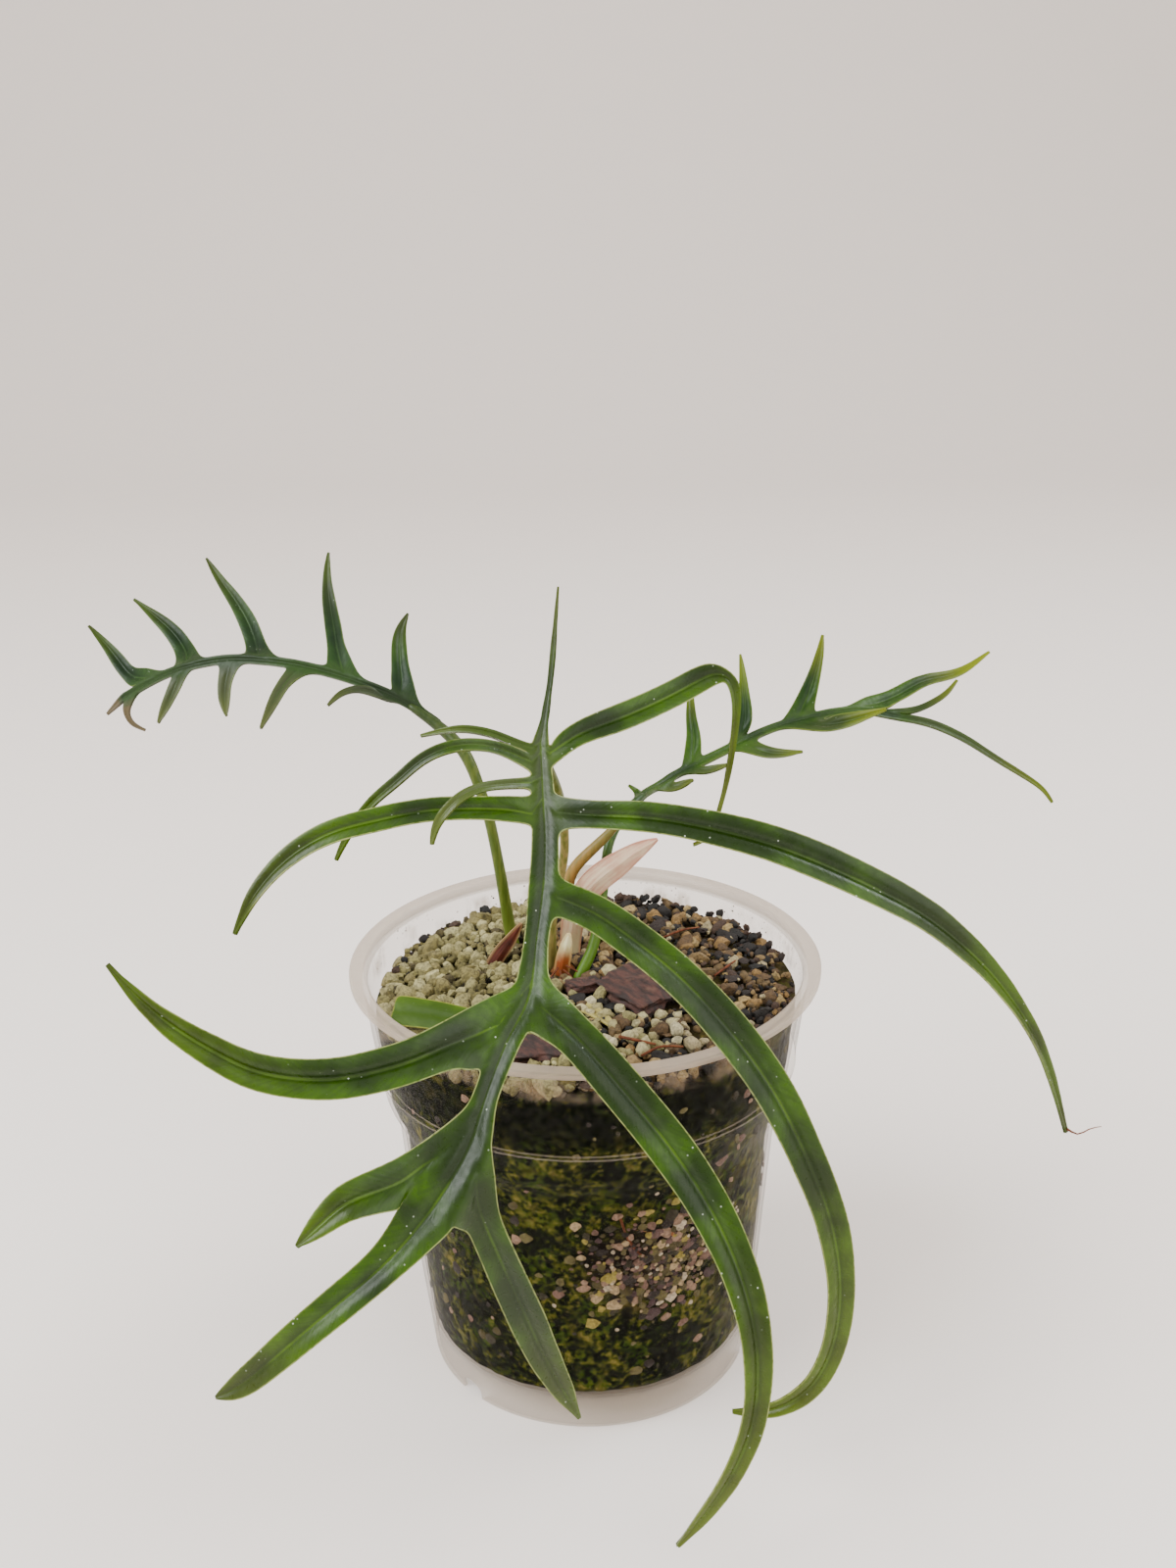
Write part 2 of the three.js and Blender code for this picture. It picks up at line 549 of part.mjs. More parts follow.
const RIGHT_BLADE = {
  rachis: [
    [12, 24, 142.6, 1.1], [16.5, 32, 144.3, 1.2], [21, 38, 144.6, 1.2], [25.5, 43, 145.6, 1.2],
    [35, 50, 147.6, 1.4], [44, 57, 149.6, 1.4], [54, 64, 151.6, 1.4], [63.5, 69, 152.5, 1.3],
    [72.5, 73, 153, 1.4], [81.5, 76.5, 152.5, 1.4], [88, 78.5, 150.7, 1.4], [94, 80, 149, 1.2],
  ],
  facing: [[-0.3, -0.6, 0.75], [-0.3, -0.6, 0.75]],
  rib: 1.1,
  lobes: [
    { side: -1, root: [6, 9], along: 0.05, facing: [0, -0.8, 0.5],
      path: [[14.5, 35.3, 143.5, 0.8], [12.3, 37, 144.8, 0.35]] },
    { side: -1, root: [27, 33.5], along: 0.3, facing: [0, -0.8, 0.5],
      path: [[31, 53, 152, 2], [30.5, 58, 156, 1.6], [30.5, 63, 159.5, 1.2], [31, 68, 163.5, 0.35]] },
    { side: -1, root: [44.5, 51], along: 0.45, facing: [0, -0.7, 0.6],
      path: [[46, 61.5, 155, 2.3], [46, 66, 159, 1.7], [46, 71, 164, 1.2], [45.5, 76, 170, 0.35]] },
    { side: -1, root: [64, 74.5], along: 0.7, facing: [0, -0.7, 0.6],
      path: [[64.5, 73, 157, 2.8], [67, 77, 162.5, 2], [69, 80.5, 168.5, 1.2], [70, 83, 173.5, 0.35]] },
    { side: 1, root: [13.5, 22], along: 0.15, facing: [-0.2, -0.6, 0.75],
      path: [[22, 38, 143.5, 2.1], [26, 37, 144.3, 1.5], [29.5, 36, 146.5, 0.35]] },
    { side: 1, root: [26, 31], along: 0.3, facing: [-0.2, -0.6, 0.75],
      path: [[32, 44, 146, 1.4], [36, 42.3, 147.3, 1.1], [39.5, 41, 149, 0.35]] },
    { side: 1, root: [44, 51.5], along: 0.45, facing: [-0.2, -0.6, 0.75],
      path: [[47.5, 55, 148.8, 2.4], [51.5, 51.5, 148.3, 1.9], [56, 49, 149, 1.2], [60.5, 48, 150, 0.35]] },
    { side: 1, root: [63, 76], along: 0.7, facing: [-0.2, -0.6, 0.75],
      path: [[66, 66, 151.5, 3.2], [71.5, 61.5, 152.8, 2.4], [77, 58.5, 155.3, 1.8], [84.5, 57, 159, 0.35]] },
    // The forked end
    { side: -1, root: [86, 95], along: 0.85, facing: [-0.2, -0.6, 0.75],
      path: [[90.5, 83.5, 153.5, 2.7], [96.5, 88, 155, 2.6], [102, 92, 156.5, 2.3], [107, 95, 156.5, 1.9],
        [112, 98, 156.5, 1.6], [116.5, 100, 157.8, 1.2], [123.5, 102, 162.5, 0.35]] },
    { side: -1, root: [97.5, 101.5], along: 0.95, facing: [-0.2, -0.6, 0.75],
      path: [[97, 81.8, 150.3, 0.9], [103, 83, 152.5, 0.9], [108, 85, 155, 0.8], [110.5, 86, 158.5, 0.35]] },
    { end: 'tip', along: 1, facing: [-0.1, -0.6, 0.75],
      path: [[102.5, 80, 147, 1.3], [112.5, 80.5, 142.2, 1.2], [122, 80.5, 136, 1], [131.5, 80, 130, 0.8],
        [137.3, 79.5, 126, 0.6], [140, 79, 122, 0.35]] },
  ],
};

function frond(blade, petiole) {
  return joined([sheetOf(blade), stalk(petiole)]);
}

// Young growth and the dry remains round the crown

const YOUNG_LEAF = [
  [-4.5, 14.5, 97, 1.3], [-4.5, 13.8, 112, 1.4], [-4.5, 13, 121, 1.4], [-3.5, 12, 130, 1.4],
  [0, 12.5, 134, 1.3], [4, 12.5, 138, 1.2], [8.5, 13, 142.5, 0.9], [11, 13.5, 146, 0.4],
];

const SHEATHS = {
  new_sheath: {
    rachis: [[-4, 10.6, 103, 2.4], [-3.5, 9.6, 114, 2.9], [-1.5, 7.8, 122.5, 3.3], [3, 6.5, 129.5, 3.8],
      [9, 7, 134, 3.5], [14, 8, 137.5, 2.3], [19, 9.5, 140, 0.5]],
    facing: [[0, -1, 0], [0.3, -0.9, 0.2]], fold: -0.3, rib: 0.2,
  },
  old_sheath: {
    rachis: [[-6.4, 2.4, 102.5, 2.1], [-6, 1.9, 108, 2.1], [-5, 1.9, 113, 1.8], [-4, 2.4, 117, 0.6]],
    facing: [[0, -1, 0], [0, -1, 0]], fold: -0.35, rib: 0.6,
  },
  husk_left: {
    rachis: [[-25, 9, 103, 2], [-22.5, 11, 107, 2.3], [-19.5, 12.5, 110.5, 1.8], [-16.5, 13.5, 115, 0.5]],
    facing: [[0.4, -0.9, 0.2], [0.5, -0.8, 0.3]], fold: -0.25, rib: 0.1,
  },
  husk_right: {
    rachis: [[-12.3, 3.5, 103, 1.8], [-12.1, 3, 109, 1.6], [-11.6, 2.8, 114.5, 0.5]],
    facing: [[0, -1, 0.1], [0, -1, 0.1]], fold: -0.2, rib: 0.1,
  },
};

// A cut lobe lies on the pumice with its brown end by the rim, and a dry scrap lies on the mix.
const LYING = {
  trimmed_lobe: {
    rachis: [[-47, -22.5, 109.3, 4], [-38, -25, 109.3, 3.8], [-27, -28.5, 108.6, 3.5], [-17, -32, 107.6, 3.1]],
    facing: [[0, -0.65, 0.76], [0, -0.55, 0.83]], fold: -0.12, rib: 0.2,
  },
  leaf_scrap: {
    rachis: [[-3, -15, 106, 1.2], [1.5, -19.5, 106.4, 2.2], [5, -24, 106.1, 1.4], [7.5, -28, 105.7, 0.4]],
    facing: [[0, -0.3, 1], [0.2, -0.3, 1]], fold: 0.3, rib: 0.1,
  },
};

// Rootstock: an oblique buried stem with fleshy roots. One root shows at the front wall.

const ROOTSTOCK = [
  [-22, 30, 66, 2.6], [-19, 26, 76, 4.8], [-14, 18, 88, 5.4], [-8, 9.5, 98, 4.6], [-5.5, 6.2, 105.5, 3],
];

const ROOTS = [
  [[-12, 16, 88, 1.6], [4, 0, 84, 1.4], [8, -30, 78, 1.2], [7.5, -45.6, 70, 1], [12, -44.5, 59.5, 1],
    [21, -41.3, 57, 1], [24, -34, 50, 0.8]],
  [[-19, 26, 76, 1.7], [-32, 22, 64, 1.4], [-38, 8, 48, 1.1], [-34, -4, 30, 0.7]],
  [[-20, 28, 72, 1.7], [-10, 38, 56, 1.3], [6, 40, 40, 1], [20, 32, 24, 0.7]],
  [[-15, 20, 84, 1.7], [8, 24, 72, 1.4], [30, 14, 60, 1.1], [38, -6, 44, 0.8]],
  [[-21, 29, 69, 1.5], [-16, 18, 50, 1.2], [-10, -2, 34, 0.9], [-14, -20, 20, 0.7]],
];

function makeRootstock(grow) {
  return joined([stalk(ROOTSTOCK, grow, 8, 7), ...ROOTS.map((root) => stalk(root, grow, 5, 12))]);
}

// The fill: potting mix with pebbles, and a bed of pumice over its left half

// Height of the fill: a low mound, tilted a little, with slight waves.
function surfaceHeight(x, y) {
  const share = Math.min(Math.hypot(x, y) / FILL_TOP_RADIUS, 1);
  const tilt = FILL_TILT * share * Math.cos(Math.atan2(y, x) - radians(FILL_TILT_ANGLE));
  const mound = (FILL_CROWN - FILL_EDGE) * (1 - share * share);
  const waves = FILL_WAVE * Math.sin(x / 4.3) * Math.cos(y / 5.1);
  return FILL_EDGE + tilt + mound + waves;
}

const FILL_RINGS = [0, 0.26, 0.52, 0.78, 1];
const FILL_SIDES = 36;
const FILL_LEVELS = [FLOOR_HEIGHT + FLOOR_THICKNESS + GAP, 26, 55, 71.5, 78.4, 94];

const fillRadius = (height) => wallRadius(height) - WALL - GAP - 0.1;

// A column that fills the pot up to the surface plus a lift, or a wider one to cut with.
function fillColumn(lift, widen = 0) {
  const positions = [];
  const index = [];
  const ring = [];
  const circle = (height) => {
    for (let k = 0; k < FILL_SIDES; k++) {
      const angle = 2 * Math.PI * k / FILL_SIDES;
      const [x, y, z] = height(angle);
      positions.push(x, y, z);
    }
    ring.push(positions.length / 3 - FILL_SIDES);
  };
  for (const level of FILL_LEVELS) {
    const radius = fillRadius(level) + widen;
    circle((angle) => [radius * Math.cos(angle), radius * Math.sin(angle), level]);
  }
  const top = fillRadius(FILL_EDGE) + widen;
  for (const share of [...FILL_RINGS].reverse().slice(0, -1)) {
    circle((angle) => {
      const [x, y] = [top * share * Math.cos(angle), top * share * Math.sin(angle)];
      return [x, y, surfaceHeight(x, y) + lift];
    });
  }
  const foot = positions.length / 3;
  positions.push(0, 0, FILL_LEVELS[0], 0, 0, surfaceHeight(0, 0) + lift);
  for (let k = 0; k < FILL_SIDES; k++) {
    const next = (k + 1) % FILL_SIDES;
    for (let i = 1; i < ring.length; i++) {
      const [a, b, c, d] = [ring[i - 1] + k, ring[i - 1] + next, ring[i] + next, ring[i] + k];
      index.push(a, b, c, a, c, d);
    }
    index.push(foot, ring[0] + next, ring[0] + k);
    index.push(foot + 1, ring.at(-1) + k, ring.at(-1) + next);
  }
  const geometry = new THREE.BufferGeometry();
  geometry.setAttribute('position', new THREE.Float32BufferAttribute(positions, 3));
  geometry.setIndex(index);
  return solidOf(geometry);
}

// The edge of the pumice bed across the pot, from front to back.
const PUMICE_EDGE = [[-4, -62], [0, -44], [3, -30], [-2, -16], [-15, -4], [-12.5, 12], [-9, 30], [-4, 62]];

function pumiceRegion(shrink) {
  const outline = [...PUMICE_EDGE.map(([x, y]) => [x - shrink, y]), [-64, 62], [-64, -62]];
  const shape = new THREE.Shape(outline.map(([x, y]) => new THREE.Vector2(x, y)));
  return solidOf(new THREE.ExtrudeGeometry(shape, { depth: 40, bevelEnabled: false }).translate(0, 0, 80));
}

function pumiceEdgeAt(y) {
  for (let i = 1; i < PUMICE_EDGE.length; i++) {
    const [x0, y0] = PUMICE_EDGE[i - 1];
    const [x1, y1] = PUMICE_EDGE[i];
    if (y <= y1) return x0 + (x1 - x0) * (y - y0) / (y1 - y0);
  }
  return PUMICE_EDGE.at(-1)[0];
}

// Places that grains keep clear of: [x, y, radius]
const KEEP_CLEAR = [
  [-9, 9, 4], [-18, 22, 4], [-2, 1, 4], [-4.5, 14, 4], [-6, 4, 6], [-22, 11, 6], [-12, 3, 5],
  [-45, -23, 8], [-38, -25, 8], [-30, -27.5, 8], [-22, -30, 8], [-15, -33, 7], [12, -11, 12], [-12, -36, 9],
  [-1, -8, 5], [2, -20, 6], [6, -26, 5],
];

function grain(random, x, y, size) {
  const stone = new THREE.IcosahedronGeometry(size, 0);
  stone.scale(1 + 0.4 * random(), 1, 0.75 + 0.35 * random());
  stone.rotateZ(random() * Math.PI).rotateX(random() * 0.9);
  stone.translate(x, y, surfaceHeight(x, y) + 0.12 * size);
  return solidOf(stone);
}

// Grains are crowded to 0.85 of their size, and lie inside a circle just short of the wall.
const GRAIN_CROWDING = 0.85;
const GRAIN_CIRCLE = 51.5;

function grains({ seed, count, sizes, accepts }) {
  const random = makeRandom(seed);
  const placed = [];
  const stones = [];
  for (let tries = 0; tries < 60 * count && placed.length < count; tries++) {
    const radius = GRAIN_CIRCLE * Math.sqrt(random());
    const angle = 2 * Math.PI * random();
    const size = sizes[0] + (sizes[1] - sizes[0]) * random();
    const [x, y] = [radius * Math.cos(angle), radius * Math.sin(angle)];
    const reach = GRAIN_CROWDING * size;
    const crowded = [...KEEP_CLEAR, ...placed].some(([px, py, pr]) => Math.hypot(px - x, py - y) < pr + reach);
    if (crowded || !accepts(x, y, size)) continue;
    placed.push([x, y, reach]);
    stones.push(grain(random, x, y, size));
  }
  return joined(stones).intersect(fillColumn(12));
}

const PUMICE_GRAINS = {
  seed: 7, count: 58, sizes: [2.2, 3.7], accepts: (x, y, size) => x < pumiceEdgeAt(y) - 1.3 * size,
};

const PEBBLES = {
  seed: 19, count: 36, sizes: [1.8, 3.2], accepts: (x, y, size) => x > pumiceEdgeAt(y) + 1.4 * size,
};

// Chips of bark: a lying slab each, at [x, y, lift], with its half length, width and thickness

const CHIPS = [
  { at: [12.5, -11.5, 1.9], size: [8.5, 6, 2.2], turn: -52, tilt: 9 },
  { at: [-12, -36, 1.6], size: [6.5, 4, 1.7], turn: 4, tilt: 8 },
  { at: [-0.6, -7.6, 1.4], size: [4, 2.6, 1.4], turn: 20, tilt: -6 },
];

const CHIP_OUTLINE = [
  [-1, -0.35], [-0.45, -0.9], [0.35, -1], [0.95, -0.5], [1, 0.3], [0.4, 0.85], [-0.5, 1], [-0.95, 0.4],
];
const CHIP_BEVEL = 0.7;

function chip({ at: [x, y, lift], size, turn, tilt }, grow = 0) {
  const [length, width, thick] = size.map((half) => half - CHIP_BEVEL + grow);
  const edge = CHIP_OUTLINE.map(([u, v]) => new THREE.Vector2(u * length, v * width));
  const bevel = { bevelEnabled: true, bevelThickness: CHIP_BEVEL, bevelSize: CHIP_BEVEL, bevelSegments: 1 };
  const slab = new THREE.ExtrudeGeometry(new THREE.Shape(edge), { depth: 2 * thick, ...bevel });
  slab.translate(0, 0, -thick);
  slab.rotateX(radians(tilt)).rotateZ(radians(turn));
  slab.translate(x, y, surfaceHeight(x, y) + lift);
  return solidOf(slab);
}

// The assembly. What is cut clear of its neighbours is cut with the same shapes, grown by the gap.

const stems = [FRONT_PETIOLE, LEFT_PETIOLE, RIGHT_PETIOLE, YOUNG_LEAF].map((line) => stalk(line, GAP));
const sheathRooms = Object.values(SHEATHS).map((form) => sheetOf(form, GAP));
const lyingRooms = Object.values(LYING).map((form) => sheetOf(form, GAP));
const chipRooms = CHIPS.map((form) => chip(form, GAP));
const rooms = [...stems, ...sheathRooms, ...lyingRooms, ...chipRooms];

addPiece('pot', makePot(), FINISHES.pot);

const pumiceBed = joined([fillColumn(0), grains(PUMICE_GRAINS)]).intersect(pumiceRegion(GAP));
const pumice = cut(pumiceBed, [fillColumn(GAP - PUMICE_DEPTH, 2), ...rooms, makeRootstock(GAP)]);
addPiece('pumice_dressing', largest(pumice), FINISHES.pumice);

const pocket = pumiceRegion(0).subtract(fillColumn(-PUMICE_DEPTH, 2));
const mix = joined([fillColumn(0), grains(PEBBLES)]).subtract(pocket);
addPiece('potting_mix', largest(cut(mix, [...rooms, makeRootstock(GAP)])), FINISHES.soil);

addPiece('rootstock', largest(cut(makeRootstock(0), [...stems, ...sheathRooms])), FINISHES.root);
addPiece('frond_front', frond(FRONT_BLADE, FRONT_PETIOLE), FINISHES.leaf);
addPiece('frond_left', frond(LEFT_BLADE, LEFT_PETIOLE), FINISHES.oldLeaf);
addPiece('frond_right', frond(RIGHT_BLADE, RIGHT_PETIOLE), FINISHES.oldLeaf);
addPiece('young_leaf', stalk(YOUNG_LEAF), FINISHES.spear);
addPiece('new_sheath', sheetOf(SHEATHS.new_sheath), FINISHES.sheath);
addPiece('old_sheath', sheetOf(SHEATHS.old_sheath), FINISHES.oldSheath);
addPiece('husk_left', sheetOf(SHEATHS.husk_left), FINISHES.husk);
addPiece('husk_right', sheetOf(SHEATHS.husk_right), FINISHES.husk);
addPiece('trimmed_lobe', sheetOf(LYING.trimmed_lobe), FINISHES.cutLobe);
addPiece('leaf_scrap', sheetOf(LYING.leaf_scrap), FINISHES.scrap);
CHIPS.forEach((form, i) => addPiece(`bark_chip_${i + 1}`, chip(form), FINISHES.bark));

export default plant;
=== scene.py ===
"""A potted philodendron tortum: three cut fronds arch out of a clear nursery pot.

Sizes are in millimetres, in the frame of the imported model, and are turned to metres when a mesh is made.
"""
import logging
import math
import random
from dataclasses import dataclass
from enum import Enum
from typing import Any, Callable, Iterable, Optional, Sequence, Union

import bmesh
import bpy
import numpy as np
from mathutils import Matrix, Vector, kdtree, noise


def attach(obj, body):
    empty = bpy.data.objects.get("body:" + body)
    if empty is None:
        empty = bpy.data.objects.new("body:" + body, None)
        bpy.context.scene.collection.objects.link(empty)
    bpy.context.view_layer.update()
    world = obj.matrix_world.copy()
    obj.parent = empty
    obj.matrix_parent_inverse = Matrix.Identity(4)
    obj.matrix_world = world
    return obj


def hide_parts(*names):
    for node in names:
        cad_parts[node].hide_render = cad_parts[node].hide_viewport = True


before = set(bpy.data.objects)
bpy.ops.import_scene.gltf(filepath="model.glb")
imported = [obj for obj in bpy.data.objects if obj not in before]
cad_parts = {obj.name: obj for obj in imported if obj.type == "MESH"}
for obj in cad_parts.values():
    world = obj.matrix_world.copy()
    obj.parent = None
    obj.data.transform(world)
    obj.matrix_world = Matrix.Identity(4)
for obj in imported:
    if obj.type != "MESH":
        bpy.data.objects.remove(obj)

LOG = logging.getLogger("plant")
MM = 0.001
BODY = "root"
Colour = tuple[float, float, float]
Station = Sequence[float]


def smooth(share: float) -> float:
    """Smooth step of a share that is held between 0 and 1."""
    held = min(max(share, 0.0), 1.0)
    return held * held * (3 - 2 * held)


def mix(start: float, end: float, share: float) -> float:
    """Value between two others at a share of the way."""
    return start + (end - start) * share


def rgb(red: int, green: int, blue: int) -> Colour:
    """Linear colour of display values from 0 to 255."""
    def linear(value: float) -> float:
        """One channel, made linear."""
        return value / 12.92 if value <= 0.04045 else ((value + 0.055) / 1.055) ** 2.4
    return linear(red / 255), linear(green / 255), linear(blue / 255)


# Shader maths


class Value:
    """A number socket that adds Math nodes when it is calculated with."""

    def __init__(self, tree: "Graph", socket: bpy.types.NodeSocket) -> None:
        """Wraps one output socket of a tree."""
        self.tree = tree
        self.socket = socket

    def _math(self, operation: str, *terms: Union["Value", float]) -> "Value":
        """Math node on the given terms."""
        return self.tree.number("ShaderNodeMath", {"operation": operation}, dict(enumerate(terms)))

    def __add__(self, other: Union["Value", float]) -> "Value":
        """Sum."""
        return self._math("ADD", self, other)

    def __sub__(self, other: Union["Value", float]) -> "Value":
        """Difference."""
        return self._math("SUBTRACT", self, other)

    def __rsub__(self, other: float) -> "Value":
        """Difference from a number."""
        return self._math("SUBTRACT", other, self)

    def __mul__(self, other: Union["Value", float]) -> "Value":
        """Product."""
        return self._math("MULTIPLY", self, other)

    def __pow__(self, power: float) -> "Value":
        """Power of this."""
        return self._math("POWER", self, power)

    __radd__ = __add__
    __rmul__ = __mul__

    def band(self, start: float, end: float, low: float = 0.0, high: float = 1.0) -> "Value":
        """Smooth step from low to high while this goes from start to end."""
        sockets = {"Value": self, "From Min": start, "From Max": end, "To Min": low, "To Max": high}
        settings = {"interpolation_type": "SMOOTHSTEP"}
        return self.tree.number("ShaderNodeMapRange", settings, sockets, "Result")


class Graph:
    """The node tree of one material."""

    def __init__(self, name: str) -> None:
        """Starts a material with an empty tree."""
        self.material = bpy.data.materials.new(name)
        self.material.use_nodes = True
        self.tree = self.material.node_tree
        self.tree.nodes.clear()

    def node(self, kind: str, settings: Optional[dict] = None,
             sockets: Optional[dict] = None) -> bpy.types.Node:
        """Adds a node.

        Args:
            kind: The node's type.
            settings: Its own settings, with the stops of a ramp under "stops".
            sockets: Values or links of its inputs, by name or by number.

        Returns:
            The new node.
        """
        made = self.tree.nodes.new(kind)
        for key, setting in (settings or {}).items():
            if key == "stops":
                ramp = made.color_ramp
                while len(ramp.elements) < len(setting):
                    ramp.elements.new(0.5)
                for element, (place, colour) in zip(ramp.elements, setting):
                    element.position = place
                    element.color = (*colour, 1)
            elif key == "blend":
                made.color_ramp.interpolation = setting
            else:
                setattr(made, key, setting)
        for key, given in (sockets or {}).items():
            target = made.inputs[key]
            if isinstance(given, Value):
                given = given.socket
            if isinstance(given, bpy.types.NodeSocket):
                self.tree.links.new(given, target)
            elif isinstance(given, tuple) and target.type == "RGBA":
                target.default_value = (*given, 1)
            else:
                target.default_value = given
        return made

    def number(self, kind: str, settings: dict, sockets: dict, output: Union[str, int] = 0) -> Value:
        """Adds a node and wraps one of its outputs."""
        return Value(self, self.node(kind, settings, sockets).outputs[output])

    def place(self, scale: Sequence[float] = (1, 1, 1),
              turn: Sequence[float] = (0, 0, 0)) -> bpy.types.NodeSocket:
        """Object coordinates, stretched and turned."""
        source = self.node("ShaderNodeTexCoord").outputs["Object"]
        turned = self.node("ShaderNodeMapping", {"vector_type": "TEXTURE"}, {
            "Vector": source, "Scale": scale, "Rotation": turn})
        return turned.outputs[0]

    def noise(self, size: float, detail: float = 3.0, at: Any = None, rough: float = 0.5) -> Value:
        """Noise whose features are about size millimetres across."""
        sockets = {"Vector": at or self.place(), "Scale": 1 / (size * MM),
                   "Detail": detail, "Roughness": rough}
        return self.number("ShaderNodeTexNoise", {}, sockets, "Fac")

    def cells(self, size: float) -> Value:
        """Distance to the middle of cells of about size millimetres."""
        sockets = {"Vector": self.place(), "Scale": 1 / (size * MM)}
        return self.number("ShaderNodeTexVoronoi", {}, sockets, "Distance")

    def along(self, axis: str) -> Value:
        """Position along X, Y or Z in millimetres."""
        return self.number("ShaderNodeSeparateXYZ", {}, {0: self.place()}, axis) * (1 / MM)

    def attribute(self, name: str) -> Value:
        """Number kept on the mesh."""
        return self.number("ShaderNodeAttribute", {"attribute_name": name}, {}, "Fac")

    def ramp(self, value: Value, stops: Sequence[tuple[float, Colour]], blend: str = "LINEAR") -> Any:
        """Colour from a ramp."""
        made = self.node("ShaderNodeValToRGB", {"stops": stops, "blend": blend}, {"Fac": value})
        return made.outputs["Color"]

    def blend(self, share: Any, first: Any, second: Any) -> bpy.types.NodeSocket:
        """Mix of two colours."""
        return self.node("ShaderNodeMix", {"data_type": "RGBA"}, {0: share, 6: first, 7: second}).outputs[2]

    def bump(self, height: Value, distance: float, strength: float = 0.5) -> Any:
        """Normal of a bump whose height goes over distance millimetres."""
        sockets = {"Height": height, "Distance": distance * MM, "Strength": strength}
        return self.node("ShaderNodeBump", {}, sockets).outputs["Normal"]

    def surface(self, **sockets: Any) -> bpy.types.Node:
        """Principled shader with sockets named by words joined with underscores."""
        return self.node("ShaderNodeBsdfPrincipled", {}, {
            key.replace("_", " "): given for key, given in sockets.items()})

    def finish(self, shader: bpy.types.NodeSocket) -> bpy.types.Material:
        """Links the shader to the output."""
        self.node("ShaderNodeOutputMaterial", {}, {"Surface": shader})
        return self.material


# Mesh helpers


def deselect() -> None:
    """Leave edit mode and deselect everything."""
    if bpy.context.object and bpy.context.mode != "OBJECT":
        bpy.ops.object.mode_set(mode="OBJECT")
    bpy.ops.object.select_all(action="DESELECT")


def added(operator: Callable[..., Any], **settings: Any) -> bpy.types.Object:
    """New object from an operator that adds one."""
    deselect()
    operator(**settings)
    return bpy.context.object


def pick(thing: bpy.types.Object) -> None:
    """Make one object the selected and active one."""
    deselect()
    thing.select_set(True)
    bpy.context.view_layer.objects.active = thing


def modify(thing: bpy.types.Object, kind: str, **settings: Any) -> None:
    """Add a modifier with the given settings and apply it."""
    pick(thing)
    modifier = thing.modifiers.new(kind.title(), kind)
    for key, setting in settings.items():
        setattr(modifier, key, setting)
    bpy.ops.object.modifier_apply(modifier=modifier.name)


def refine(thing: bpy.types.Object, levels: int) -> None:
    """Subdivision surface, applied."""
    modify(thing, "SUBSURF", levels=levels, render_levels=levels)


def settle(thing: bpy.types.Object) -> None:
    """Put the object's place into its mesh."""
    pick(thing)
    bpy.ops.object.transform_apply(location=True, rotation=True, scale=True)


def shade(thing: bpy.types.Object, angle: Optional[float] = None) -> None:
    """Smooth shading, with edges kept over an angle in degrees."""
    pick(thing)
    if angle is None:
        bpy.ops.object.shade_smooth()
    else:
        bpy.ops.object.shade_smooth_by_angle(angle=math.radians(angle))


def store(thing: bpy.types.Object, name: str, values: Sequence[float]) -> None:
    """Keep a number for each point of a mesh."""
    kept = thing.data.attributes.get(name) or thing.data.attributes.new(name, "FLOAT", "POINT")
    kept.data.foreach_set("value", np.asarray(values, np.float32))


def stored(thing: bpy.types.Object, name: str) -> np.ndarray:
    """Numbers that a mesh keeps for its points."""
    values = np.empty(len(thing.data.vertices), np.float32)
    thing.data.attributes[name].data.foreach_get("value", values)
    return values


def points_of(thing: bpy.types.Object) -> np.ndarray:
    """Mesh points in millimetres."""
    flat = np.empty(len(thing.data.vertices) * 3, np.float32)
    thing.data.vertices.foreach_get("co", flat)
    return flat.reshape(-1, 3).astype(float) / MM


def move_points(thing: bpy.types.Object, places: np.ndarray) -> None:
    """Set the mesh points, given in millimetres."""
    thing.data.vertices.foreach_set("co", (places * MM).astype(np.float32).ravel())
    thing.data.update()


def join(parts: Sequence[bpy.types.Object], name: str) -> bpy.types.Object:
    """Make one object of several."""
    deselect()
    for part in parts:
        part.select_set(True)
    bpy.context.view_layer.objects.active = parts[0]
    bpy.ops.object.join()
    parts[0].name = name
    return parts[0]


def hand_over(thing: bpy.types.Object, slot: str, *nodes: str) -> None:
    """Let a finished piece ride on the plant and stand for its nodes.

    Args:
        thing: The finished piece.
        slot: Not used.
        nodes: The solids that it stands for.
    """
    settle(thing)
    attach(thing, BODY)
    if nodes:
        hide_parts(*nodes)
    LOG.info("%s: %d points", thing.name, len(thing.data.vertices))


